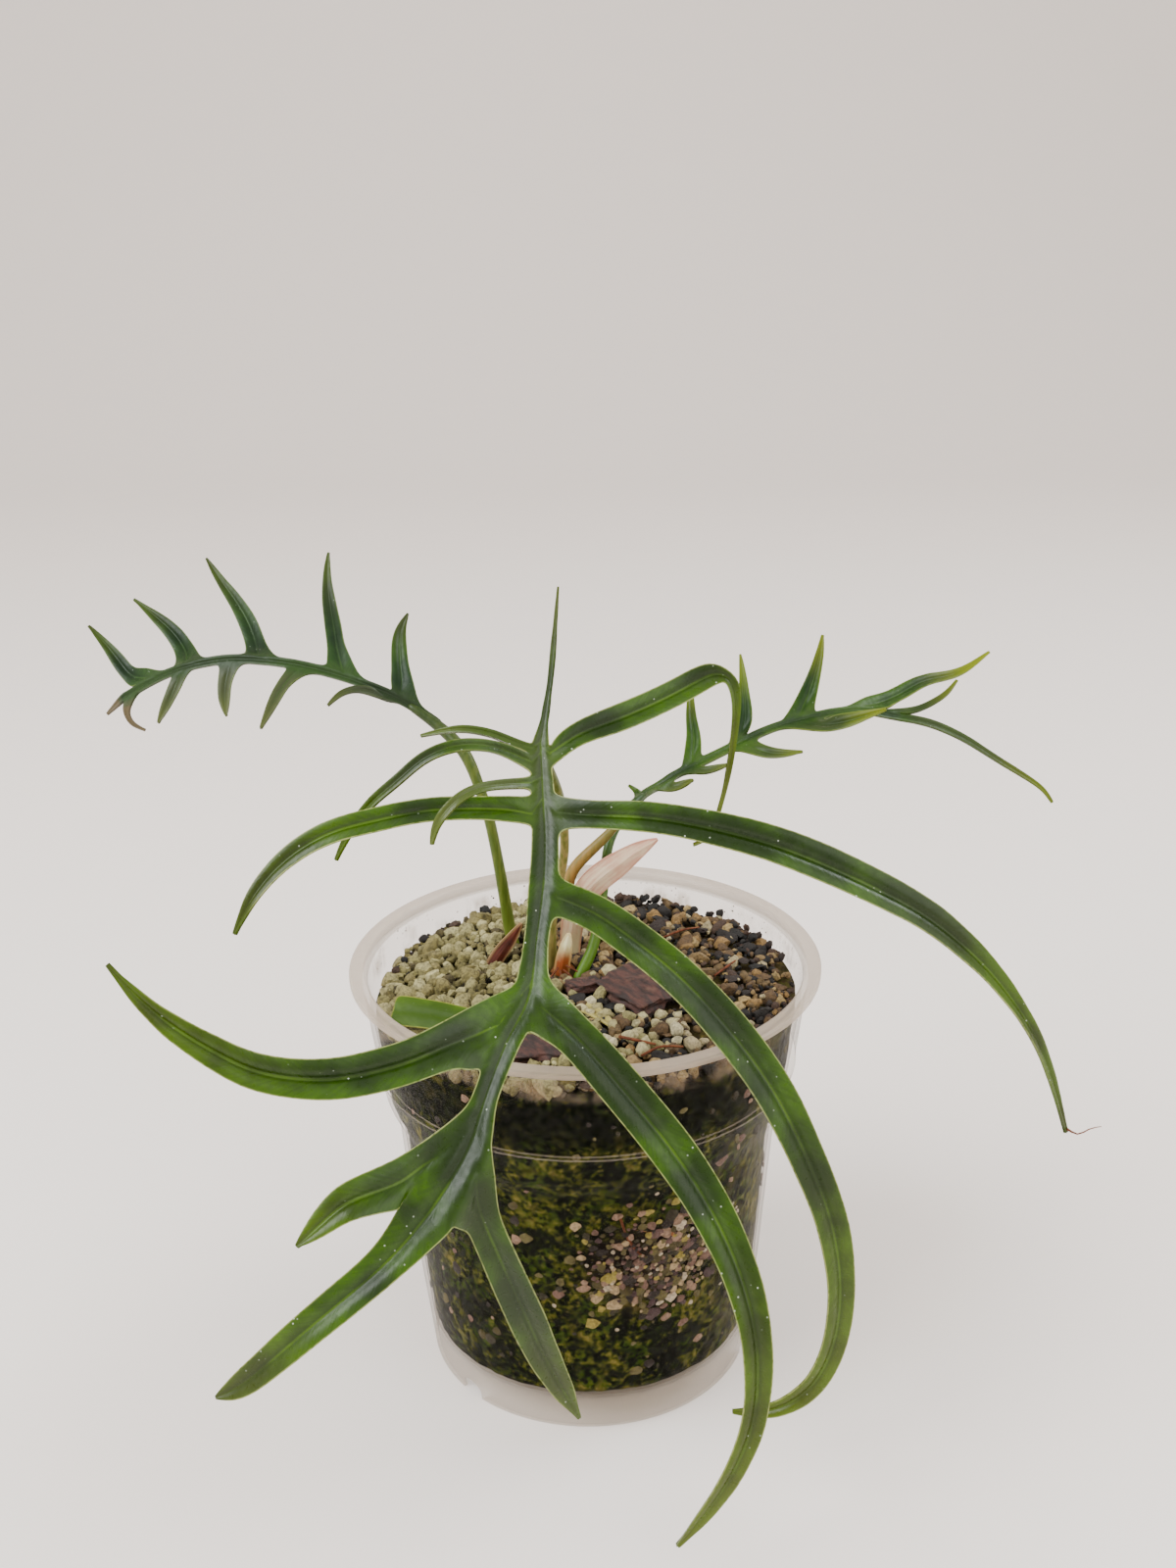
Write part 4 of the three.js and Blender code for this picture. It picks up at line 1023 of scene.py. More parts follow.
FRONT_LEAF = LeafFinish(
    "front_leaf", deep=rgb(18, 36, 0), bright=rgb(50, 82, 0), pale=rgb(64, 76, 32), ripe=rgb(118, 128, 16),
    edge=rgb(150, 158, 92), rib=rgb(84, 116, 20))
OLD_LEAF = LeafFinish(
    "old_leaf", deep=rgb(12, 32, 12), bright=rgb(34, 62, 18), pale=rgb(60, 66, 40), ripe=rgb(116, 124, 16),
    edge=rgb(92, 110, 52), rib=rgb(52, 80, 30), rough=0.36, specks=0.2, gloss=0.14)
RIPE_LEAF = LeafFinish(
    "ripe_leaf", deep=rgb(16, 40, 10), bright=rgb(50, 80, 14), pale=rgb(62, 72, 36), ripe=rgb(112, 122, 12),
    edge=rgb(110, 124, 50), rib=rgb(60, 90, 24), rough=0.36, specks=0.2, gloss=0.12)
UNDERSIDE = LeafFinish(
    "leaf_underside", deep=rgb(46, 66, 18), bright=rgb(64, 84, 28), pale=rgb(76, 86, 44),
    ripe=rgb(138, 136, 44), edge=rgb(150, 158, 92), rib=rgb(98, 118, 44), rough=0.5, specks=0.1, gloss=0.12)
CUT_LEAF = LeafFinish(
    "cut_leaf", deep=rgb(48, 72, 10), bright=rgb(78, 108, 22), pale=rgb(110, 134, 50),
    ripe=rgb(140, 108, 50), edge=rgb(148, 150, 60), rib=rgb(44, 70, 12), rough=0.5, specks=0.1, gloss=0.12)
PETIOLE = StalkFinish("petiole", rgb(62, 80, 16), rgb(88, 100, 30), rgb(104, 120, 44), rgb(22, 42, 6))
TAN_PETIOLE = StalkFinish(
    "tan_petiole", rgb(104, 106, 46), rgb(146, 130, 76), rgb(150, 148, 82), rgb(60, 78, 20))
LIME_PETIOLE = StalkFinish(
    "lime_petiole", rgb(46, 74, 14), rgb(72, 98, 20), rgb(74, 108, 18), rgb(22, 48, 16), reach=0.75)
SPEAR = StalkFinish(
    "spear", rgb(150, 116, 58), rgb(116, 100, 44), rgb(176, 154, 78), rgb(96, 92, 40), reach=0.5)
FIBRE = StalkFinish(
    "fibre", rgb(112, 58, 30), rgb(74, 36, 18), rgb(96, 50, 26), rgb(120, 70, 40), rough=0.7)
PINK_SHEATH = SkinFinish(
    "pink_sheath", rgb(226, 204, 174), rgb(210, 166, 140), rgb(208, 192, 148), rgb(178, 92, 74), reach=0.45,
    rough=0.42, glow=0.25)
OLD_SHEATH = SkinFinish(
    "old_sheath", rgb(222, 214, 150), rgb(236, 228, 180), rgb(146, 72, 26), rgb(208, 176, 112),
    reach=0.85, glow=0.15)
HUSK = SkinFinish("husk", rgb(98, 38, 18), rgb(60, 20, 9), rgb(72, 26, 12), rgb(188, 154, 104), rough=0.7)
SCRAP = SkinFinish(
    "scrap", rgb(158, 150, 72), rgb(126, 112, 58), rgb(172, 168, 90), rgb(176, 162, 96), rough=0.6)
PUMICE = GrainFinish("pumice", (
    rgb(30, 26, 12), rgb(50, 44, 18), rgb(76, 66, 32), rgb(104, 96, 50), rgb(124, 114, 66),
    rgb(136, 128, 78), rgb(150, 142, 94), rgb(168, 160, 112)), rgb(20, 17, 8), 0.45)
PALE_PUMICE = GrainFinish("pale_pumice", (
    rgb(132, 124, 78), rgb(176, 166, 122), rgb(152, 142, 96), rgb(190, 180, 142)), rgb(30, 26, 12), 0.35)
PEBBLE = GrainFinish("pebbles", (
    rgb(10, 8, 5), rgb(34, 21, 13), rgb(60, 40, 26), rgb(20, 14, 9), rgb(88, 66, 38), rgb(134, 104, 58),
    rgb(164, 150, 112), rgb(156, 132, 84), rgb(92, 72, 38), rgb(134, 110, 70)), rgb(14, 11, 7), 0.4)
WALL_PEBBLE = GrainFinish("wall_pebbles", (
    rgb(44, 40, 20), rgb(70, 62, 26), rgb(92, 84, 44), rgb(30, 22, 18), rgb(112, 84, 72), rgb(144, 116, 96),
    rgb(66, 46, 48), rgb(168, 146, 110), rgb(96, 70, 66), rgb(150, 136, 62), rgb(186, 172, 148)),
    rgb(34, 26, 20), 0.4)
BARK = BarkFinish("bark", rgb(72, 42, 34), rgb(36, 21, 17), rgb(108, 78, 64))
ROOT_SKIN = BarkFinish("root_skin", rgb(168, 110, 60), rgb(126, 76, 40), rgb(178, 136, 92))


# The fronds

UPWARD = (-0.2, -0.6, 0.75)
FLAT_UPWARD = (0, -0.65, 0.75)
LEVEL = (0, -0.8, 0.5)
INWARD = (-0.4, -0.75, 0.5)
OUTWARD = (0.15, -0.85, 0.4)

FRONT_PETIOLE = [
    (-9, 12, 93, 1.6), (-8.5, 9, 101, 1.6), (-8.7, 5, 117, 1.4), (-7.2, 2, 128, 1.3), (-5.2, -1, 138, 1.2),
    (-4.6, -5, 146, 1.2), (-5.5, -12, 160, 1.2), (-9, -21, 173.8, 1.2)]

FRONT_RACHIS = [
    (-9.5, -21, 177, 2), (-9, -28, 167, 2.6), (-8.5, -36, 158, 3.1), (-9, -43, 150, 3.3),
    (-10.5, -51, 141, 2.7), (-12, -60, 132, 3.6), (-17, -69, 125, 3), (-21, -76, 117, 2.7),
    (-25, -82, 107, 4.6), (-30, -86.5, 100, 5.4), (-33.5, -88.5, 95.5, 6)]

FRONT_LOBES = [
    Lobe(0, (0, 0), 0, (0, -1, 0.1), [
        (-9, -20, 179, 1.1), (-8.5, -18, 182, 0.8), (-7, -14, 190.5, 0.55), (-6, -10, 200, 0.4),
        (-5, -6, 210, 0.3)], tone=0.15, ripe=0.2),
    Lobe(1, (0.5, 3), 0, (0, -0.8, 0.6), [
        (-16.5, -21, 177.5, 0.9), (-20, -20.5, 179, 0.9), (-28, -19, 180, 0.9), (-37.5, -18, 178, 0.35)],
        tone=0.5),
    Lobe(1, (3, 7), 0.05, (-0.4, -0.7, 0.5), [
        (-19.5, -24, 177, 1.4), (-29, -27, 178.5, 1.5), (-36, -28, 176, 1.4), (-42, -29, 171, 1.3),
        (-48.5, -29, 165.5, 1.2), (-53.5, -29, 159, 1), (-57.5, -29, 151.5, 0.35)], tone=0.1),
    Lobe(1, (8.3, 11.1), 0.1, (-0.4, -0.8, 0.4), [
        (-17, -31, 170.5, 1.1), (-22, -35, 171.5, 1.1), (-27, -38, 170.5, 1.2), (-31, -40, 167, 1.2),
        (-33.5, -40, 163, 1), (-34, -40, 159.5, 0.35)], tone=0.75),
    Lobe(1, (13.2, 19.8), 0.15, INWARD, [
        (-24, -32, 165, 2.7), (-36, -33, 165, 2.8), (-47, -35, 163.5, 2.9), (-57, -37, 161.5, 2.8),
        (-65, -39, 157.5, 2.5), (-71, -41, 152.5, 2.1), (-75, -43, 147.5, 1.6), (-79, -44, 140, 0.4)]),
    Lobe(1, (59, 79), 0.6, (-0.15, -0.8, 0.55), [
        (-30, -72, 126, 4.9), (-36.5, -75, 124.5, 4.6), (-43, -77, 123.5, 4.6), (-52, -79.5, 123, 4.4),
        (-62, -80.5, 124, 4.1), (-70, -81, 126.5, 3.8), (-77, -80.5, 130.5, 3.3),
        (-83.5, -79.5, 134.5, 2.8), (-90.5, -78, 140, 1.8), (-98.5, -75, 148, 0.4)]),
    Lobe(1, (88, 114), 0.85, (-0.1, -0.75, 0.6), [
        (-38, -87, 103, 6), (-44, -89.5, 102, 4.5), (-50.5, -92.5, 101, 3.9), (-55, -94.5, 97.5, 2.8),
        (-60, -96, 93.5, 0.4)]),
    Lobe(-1, (1.5, 6), 0, (0.1, -1, 0.3), [
        (-2, -20.5, 178, 2.8), (9, -17, 181.2, 3.3), (17.5, -13.5, 183.8, 3.2), (24.5, -10.5, 186.4, 3.2),
        (30, -9, 189, 3.1), (33.8, -9, 190, 2.5), (36.2, -10.5, 187, 1.4), (36.5, -12, 182, 1.0),
        (36, -13, 176, 0.85), (35, -14, 168, 0.65), (33, -14, 158, 0.45), (31, -13.5, 151, 0.4),
        (28.8, -13, 147.2, 0.35), (26.5, -13, 147.5, 0.3)], ripe=0.5),
    Lobe(-1, (13.2, 21.5), 0.15, (0.45, -0.7, 0.5), [
        (1, -33, 163.5, 3.2), (17, -36, 163.5, 3.6), (38, -40, 160, 4.1), (51, -41.5, 155.5, 4.3),
        (67, -43, 148, 4.1), (77, -43, 142, 3.7), (86.5, -43, 134, 3.3), (94, -42.5, 126, 2.7),
        (102.5, -42, 114, 1.9), (108.5, -41, 102, 1.4), (115, -40, 83, 0.5)]),
    Lobe(-1, (33, 41), 0.35, (0.2, -0.85, 0.4), [
        (2.5, -46, 145, 4.1), (9.5, -49, 141, 4.3), (21, -53, 132.5, 4.4), (32.5, -57, 120.5, 4.6),
        (42, -60, 107, 4.5), (49.5, -63, 91.5, 4.1), (55.5, -65, 75, 3.8), (58, -66, 56, 3.2),
        (56, -65, 38, 2.9), (51, -64, 27.5, 2.6), (43, -63, 21.5, 1.8), (34, -62, 20.5, 0.5)], ripe=0.25),
    Lobe(-1, (56.5, 67.5), 0.55, OUTWARD, [
        (-2.5, -66, 125.5, 4.5), (8.5, -72, 114.5, 4.8), (18.5, -78, 103.5, 4.9), (26, -84, 93.5, 4.6),
        (32.5, -91, 80.5, 4), (35.5, -96, 67, 3.3), (35, -99, 51, 2.7), (31, -100, 38, 2.3),
        (25.5, -98.5, 25.5, 1.7), (19, -97, 14, 0.5)], ripe=0.3),
    Lobe(-1, (94, 110), 0.9, (0.15, -0.85, 0.45), [
        (-22, -86, 92, 3.7), (-19.5, -86, 84.5, 3.8), (-16.4, -84.5, 74, 4), (-13.5, -83, 64.5, 4.1),
        (-10.5, -80.5, 53.5, 3.7), (-6.8, -78, 42.5, 2.8), (-2.5, -75, 30.5, 0.5)], tone=0.12),
    Lobe(0, (0, 0), 1, (-0.2, -0.85, 0.5), [
        (-39, -91, 89.5, 4.6), (-44, -93, 85, 4), (-52, -95.5, 79, 3.9), (-60, -97, 72.5, 3.7),
        (-71, -97, 62, 3.2), (-75.5, -96.5, 58, 2.4), (-80, -96, 55.5, 0.4)])]

LEFT_PETIOLE = [
    (-16.5, 23, 93, 1.8), (-18.5, 22, 101, 1.8), (-20, 22, 108, 1.7), (-21.5, 22, 120, 1.6),
    (-23, 22, 131, 1.5), (-25, 22.5, 142.5, 1.5), (-27.5, 23.5, 151, 1.5), (-30.5, 26, 158, 1.7),
    (-35.5, 30, 162.5, 1.7), (-41, 32.5, 166.3, 1.4), (-46, 34, 169.3, 1)]

LEFT_RACHIS = [
    (-37.5, 31.5, 164.5, 1.2), (-44, 33.5, 168.5, 1.2), (-51.5, 36, 172, 1.2), (-59.5, 38.5, 174.5, 1.2),
    (-70, 41.5, 177, 1.3), (-80.5, 44, 178.5, 1.3), (-94.5, 47.5, 178.5, 1.3), (-106, 50.5, 176, 1.3),
    (-115.5, 54, 172, 1.3), (-127.5, 58, 165, 1.1)]

LEFT_LOBES = [
    Lobe(1, (7.5, 15.5), 0.1, (0.3, -0.8, 0.5), [
        (-48, 40.5, 176.5, 2.4), (-48.5, 43.5, 180, 2.2), (-48.8, 47, 183.5, 2), (-48.3, 50, 186.5, 1.3),
        (-46.5, 51.5, 189.5, 0.35)]),
    Lobe(1, (25, 34.5), 0.3, (0, -0.8, 0.6), [
        (-65.5, 47, 180.5, 2.4), (-67.3, 55, 185, 2.3), (-69.3, 63, 190, 1.9), (-70.3, 68, 196, 1.2),
        (-70, 72, 202, 0.35)]),
    Lobe(1, (49, 58.5), 0.55, (0, -0.7, 0.7), [
        (-88, 52, 180.5, 2.7), (-91, 59, 185, 2.6), (-95.7, 66, 190, 2), (-101, 72, 195, 1.3),
        (-105, 76, 200, 0.35)]),
    Lobe(1, (70.5, 79.5), 0.75, FLAT_UPWARD, [
        (-109, 59, 177.5, 2.7), (-113, 64.5, 181, 2.5), (-118, 69, 184, 1.8), (-126, 74, 189, 0.35)]),
    Lobe(1, (84.5, 93.5), 0.95, FLAT_UPWARD, [
        (-126, 62, 170, 2.3), (-129.5, 65.5, 173, 2.1), (-134, 69.5, 177, 1.4), (-139, 72, 182, 0.35)]),
    Lobe(-1, (13.5, 17.5), 0.2, (-0.1, -0.6, 0.75), [
        (-57.5, 34, 174, 1.1), (-62, 31, 174.3, 1), (-64.5, 29, 173, 0.8),
        (-66, 28, 171.3, 0.35)], tone=0.5),
    Lobe(-1, (38.5, 44.5), 0.5, UPWARD, [
        (-78.5, 38.5, 174.5, 1.9), (-81, 32, 170.5, 1.6), (-83.5, 26, 166, 0.35)], tone=0.8),
    Lobe(-1, (58.5, 64.5), 0.7, UPWARD, [
        (-95.5, 43.5, 173.5, 2.1), (-95, 38.5, 170, 1.7), (-94, 34, 167, 0.35)], tone=0.8),
    Lobe(-1, (74.5, 80), 0.85, UPWARD, [
        (-111, 49.5, 169.5, 2), (-112.3, 45, 166.5, 1.6), (-114, 41, 163, 0.35)], tone=0.8),
    Lobe(0, (0, 0), 1, (-0.3, -0.75, 0.6), [
        (-129.3, 57, 163.3, 0.8), (-132, 56, 160.8, 0.35)], tone=2.0, ripe=0.0),
    Lobe(-1, (94, 98.5), 1, (-0.5, -0.6, 0.6), [
        (-127, 55.3, 161.3, 0.9), (-125.7, 54.3, 158.7, 0.8), (-121, 53, 157, 0.35)], tone=2.0, ripe=0.0)]

RIGHT_PETIOLE = [
    (-5, 0, 93, 1.6), (-2, 0, 105, 1.6), (2, 4, 112, 1.5), (5, 11, 126, 1.4), (6.5, 17, 136, 1.3),
    (10, 22, 141, 1.2), (13, 26, 143.5, 1.2), (16.5, 31, 144.4, 0.9)]

RIGHT_RACHIS = [
    (12, 24, 142.6, 1.1), (16.5, 32, 144.3, 1.2), (21, 38, 144.6, 1.2), (25.5, 43, 145.6, 1.2),
    (35, 50, 147.6, 1.4), (44, 57, 149.6, 1.4), (54, 64, 151.6, 1.4), (63.5, 69, 152.5, 1.3),
    (72.5, 73, 153, 1.4), (81.5, 76.5, 152.5, 1.4), (88, 78.5, 150.7, 1.4), (94, 80, 149, 1.2)]

RIGHT_LOBES = [
    Lobe(-1, (6, 9), 0.05, LEVEL, [(14.5, 35.3, 143.5, 0.8), (12.3, 37, 144.8, 0.35)]),
    Lobe(-1, (27, 33.5), 0.3, LEVEL, [
        (31, 53, 152, 2), (30.5, 58, 156, 1.6), (30.5, 63, 159.5, 1.2), (31, 68, 163.5, 0.35)], ripe=0.5),
    Lobe(-1, (44.5, 51), 0.45, (0, -0.7, 0.6), [
        (46, 61.5, 155, 2.3), (46, 66, 159, 1.7), (46, 71, 164, 1.2), (45.5, 76, 170, 0.35)], ripe=0.6),
    Lobe(-1, (64, 74.5), 0.7, (0, -0.7, 0.6), [
        (64.5, 73, 157, 2.8), (67, 77, 162.5, 2), (69, 80.5, 168.5, 1.2), (70, 83, 173.5, 0.35)], ripe=0.8),
    Lobe(1, (13.5, 22), 0.15, UPWARD, [
        (22, 38, 143.5, 2.1), (26, 37, 144.3, 1.5), (29.5, 36, 146.5, 0.35)], tone=0.7, ripe=0.3),
    Lobe(1, (26, 31), 0.3, UPWARD, [
        (32, 44, 146, 1.4), (36, 42.3, 147.3, 1.1), (39.5, 41, 149, 0.35)], tone=0.7, ripe=0.3),
    Lobe(1, (44, 51.5), 0.45, UPWARD, [
        (47.5, 55, 148.8, 2.4), (51.5, 51.5, 148.3, 1.9), (56, 49, 149, 1.2), (60.5, 48, 150, 0.35)],
        tone=0.5, ripe=0.4),
    Lobe(1, (63, 76), 0.7, UPWARD, [
        (66, 66, 151.5, 3.2), (71.5, 62, 153.2, 2.9), (77, 59.2, 155.6, 2.1), (84.5, 57, 159, 0.35)],
        tone=0.45, ripe=0.8),
    Lobe(-1, (86, 95), 0.85, UPWARD, [
        (90.5, 83.5, 153.5, 2.7), (96.5, 88, 155, 2.6), (102, 92, 156.5, 2.3), (107, 95, 156.5, 1.9),
        (112, 98, 156.5, 1.6), (116.5, 100, 157.8, 1.2), (123.5, 102, 162.5, 0.35)], ripe=1.0),
    Lobe(-1, (97.5, 101.5), 0.95, UPWARD, [
        (97, 81.8, 150.3, 0.9), (103, 83, 152.5, 0.9), (108, 85, 155, 0.8), (110.5, 86, 158.5, 0.35)],
        tone=0.4, ripe=0.6),
    Lobe(0, (0, 0), 1, (-0.1, -0.6, 0.75), [
        (102.5, 80, 147, 1.3), (112.5, 80.5, 142.2, 1.2), (122, 80.5, 136, 1), (131.5, 80, 130, 0.8),
        (137.3, 79.5, 126, 0.6), (140, 79, 122, 0.35)], tone=0.5, ripe=0.5)]


@dataclass
class Frond:
    """One frond: a petiole with a cut blade, grown as one piece."""

    name: str
    node: str
    slot: str
    petiole: Sequence[Station]
    rachis: Sequence[Station]
    facing: Sequence[Sequence[float]]
    lobes: Sequence[Lobe]
    upper: LeafFinish
    stem: StalkFinish
    thick: float = 1.4
    tone: float = 0.0
    bloom: float = 0.2

    def build(self, under: bpy.types.Material) -> bpy.types.Object:
        """Build and dress the frond.

        Args:
            under: The material of the blade's underside.

        Returns:
            The finished frond.
        """
        sheet = Sheet(self.name, self.rachis, self.facing, self.lobes, tone=self.tone, bloom=self.bloom)
        blade = sheet.finished(seed=float(len(self.lobes)))
        for material in (self.upper.make(), under):
            blade.data.materials.append(material)
        sheet.thicken(blade, self.thick)
        shade(blade, 60)
        stalk = tube(f"{self.name}_petiole", self.petiole)
        refine(stalk, 1)
        stalk.data.materials.append(self.stem.make())
        frond = join([blade, stalk], self.name)
        hand_over(frond, self.slot, self.node)
        return frond


# The pot


@dataclass
class Pot:
    """Clear tapered nursery pot with a rim flange, a step, a fine ring and an open skirt."""

    height: float = 112.0
    rim_radius: float = 60.0
    base_radius: float = 43.0
    wall: float = 0.9
    floor_height: float = 9.0
    floor_thickness: float = 1.1
    skirt_top: float = 13.0
    bead: tuple[float, float] = (79.0, 90.0)
    sides: int = 120
    notch_angles: tuple[float, ...] = (224.0, 344.0, 104.0)
    notch_width: float = 7.0
    notch_height: float = 4.5
    cutter_depth: float = 9.0
    drain_radius: float = 3.0
    drain_depth: float = 6.0
    drain_count: int = 8
    drain_circle: float = 28.0

    def outer(self) -> list[tuple[float, float]]:
        """Outer wall as radius and height."""
        return [
            (self.base_radius, 0), (44.1, 10), (45.9, 26), (48.2, 55), (49.45, 70), (49.8, 72.3),
            (52.1, 77.2), (52.6, 78.6), (53.85, 85.2), (54.35, 85.75), (54.4, 86), (54.35, 86.25),
            (54.1, 86.8), (55.9, 102)]

    def profile(self) -> list[tuple[float, float]]:
        """Closed section of the wall, the rim and the floor, from the base up and back down inside."""
        top = self.height
        lip = [(56.9, top - 2.3), (57.2, top - 2.0), (self.rim_radius - 0.5, top - 1.8),
               (self.rim_radius, top - 1.4), (self.rim_radius, top - 0.4), (self.rim_radius - 0.4, top),
               (56.4, top), (55.95, top - 0.35), (55.5, top - 1.6)]
        inner = [(radius - self.wall, z) for radius, z in reversed(self.outer())
                 if z > self.skirt_top and not self.bead[0] < z < self.bead[1]]
        low = self.floor_height
        under = low + self.floor_thickness
        floor = [(43.25, under), (5, under), (5, low), (43.1, low)]
        return [*self.outer(), *lip, *inner, *floor, (self.base_radius - self.wall, 0)]

    def build(self) -> bpy.types.Object:
        """Spin the section, cut notches and holes, and dress the pot."""
        pot = self.spun()
        for angle in self.notch_angles:
            self.take_away(pot, self.notch(angle))
        for turn in turns_of(self.drain_count):
            self.take_away(pot, self.drain(turn + math.pi / self.drain_count))
        pot.data.materials.clear()
        pot.data.materials.append(ClearPlastic().make())
        shade(pot, 35)
        hand_over(pot, "clear_plastic", "pot")
        return pot

    def spun(self) -> bpy.types.Object:
        """Body of revolution, from a ring that is extruded along the section."""
        section = self.profile()
        cage = Cage("pot_body", [
            [Vector((radius * math.cos(turn), radius * math.sin(turn), z)) for turn in turns_of(self.sides)]
            for radius, z in [*section, section[0]]], ring=True)
        bpy.ops.mesh.select_all(action="SELECT")
        bpy.ops.mesh.remove_doubles(threshold=0.00001)
        return cage.done(outward=True)

    def notch(self, angle: float) -> bpy.types.Object:
        """Arched block for one notch."""
        half = self.notch_width / 2
        block = added(bpy.ops.mesh.primitive_cylinder_add, vertices=24, radius=half * MM,
                      depth=self.cutter_depth * MM)
        places = points_of(block)
        places[:, 1] = np.where(places[:, 1] < 0, -half, places[:, 1])
        places = places[:, [2, 0, 1]]
        places[:, 2] = (places[:, 2] + half) * (self.notch_height + 1) / (2 * half) - 1
        places[:, 0] += self.base_radius
        move_points(block, places)
        block.rotation_euler.z = math.radians(angle)
        return block

    def drain(self, turn: float) -> bpy.types.Object:
        """Round bar for one drain hole."""
        place = Vector((self.drain_circle * math.cos(turn), self.drain_circle * math.sin(turn),
                        self.floor_height))
        return added(bpy.ops.mesh.primitive_cylinder_add, vertices=20, radius=self.drain_radius * MM,
                     depth=self.drain_depth * MM, location=place * MM)

    @staticmethod
    def take_away(pot: bpy.types.Object, tool: bpy.types.Object) -> None:
        """Cut a tool out of the pot and remove it."""
        settle(tool)
        pick(tool)
        bpy.ops.object.mode_set(mode="EDIT")
        bpy.ops.mesh.select_all(action="SELECT")
        bpy.ops.mesh.normals_make_consistent(inside=False)
        bpy.ops.object.mode_set(mode="OBJECT")
        modify(pot, "BOOLEAN", operation="DIFFERENCE", solver="EXACT", object=tool)
        bpy.data.objects.remove(tool)


# The fill


@dataclass(frozen=True)
class Layer:
    """Grains of one size in a heap: how many, how big, how high, which tints and how flat."""

    count: int
    least: float
    most: float
    lift: float
    tints: tuple[float, float] = (0.0, 1.0)
    flat: float = 0.95

    @property
    def lean(self) -> float:
        """How far a grain may lean over, in radians: flakes lie nearly level."""
        return 1.2 if self.flat > 0.5 else 0.35


class Grains:
    """Loose grains of a few shapes, gathered into one mesh, each with its own tint."""

    SHAPES = 8
    FLATS = 5

    def __init__(self, name: str, seed: int) -> None:
        """Starts an empty heap with its own random draw."""
        self.name = name
        self.draw = random.Random(seed)
        self.shapes = [self.shape(index) for index in range(self.SHAPES)]
        self.count = 0
        self.verts: list[np.ndarray] = []
        self.faces: list[np.ndarray] = []
        self.tints: list[float] = []

    @classmethod
    def shape(cls, index: int) -> tuple[np.ndarray, np.ndarray]:
        """Knobbly grain of unit size with a few flat sides.

        Args:
            index: Which of the shapes.

        Returns:
            Points and the corners of the faces.
        """
        stone = added(bpy.ops.mesh.primitive_ico_sphere_add, subdivisions=2, radius=1)
        points = np.array([vert.co for vert in stone.data.vertices], float)
        corners = np.array([face.vertices for face in stone.data.polygons])
        bpy.data.objects.remove(stone)
        shift = Vector((index * 3.7, index * 1.3, 0.5))
        lumps = np.array([
            1.05 + 0.4 * noise.noise(Vector(point) * 1.2 + shift)
            + 0.25 * noise.noise(Vector(point) * 2.9 + shift) for point in points])
        points = points * lumps[:, None]
        draw = random.Random(index)
        for _ in range(cls.FLATS):
            side = np.array(Vector([draw.gauss(0, 1) for _ in range(3)]).normalized())
            points -= np.maximum(points @ side - mix(0.62, 0.85, draw.random()), 0)[:, None] * side
        return points, corners

    def pick(self) -> tuple[np.ndarray, np.ndarray]:
        """One of the shapes, drawn at random."""
        return self.shapes[self.draw.randrange(self.SHAPES)]

    def lay(self, shape: tuple[np.ndarray, np.ndarray], sizes: np.ndarray, turn: Matrix,
            place: Sequence[float], tint: float) -> None:
        """Add a grain.

        Args:
            shape: Its points and the corners of its faces.
            sizes: Half its extents.
            turn: How it is turned.
            place: Where it lies.
            tint: Its place in the row of tones.
        """
        points, corners = shape
        self.verts.append(points @ np.diag(sizes) @ np.array(turn).T + np.array(place))
        self.faces.append(corners + self.count)
        self.tints += [tint] * len(points)
        self.count += len(points)

    def done(self, finish: bpy.types.Material) -> bpy.types.Object:
        """The grains as one dressed object."""
        mesh = bpy.data.meshes.new(self.name)
        points = np.concatenate(self.verts) * MM
        mesh.from_pydata(points.tolist(), [], np.concatenate(self.faces).tolist())
        thing = bpy.data.objects.new(self.name, mesh)
        bpy.context.scene.collection.objects.link(thing)
        store(thing, "tint", self.tints)
        shade(thing, 48)
        mesh.materials.append(finish)
        return thing


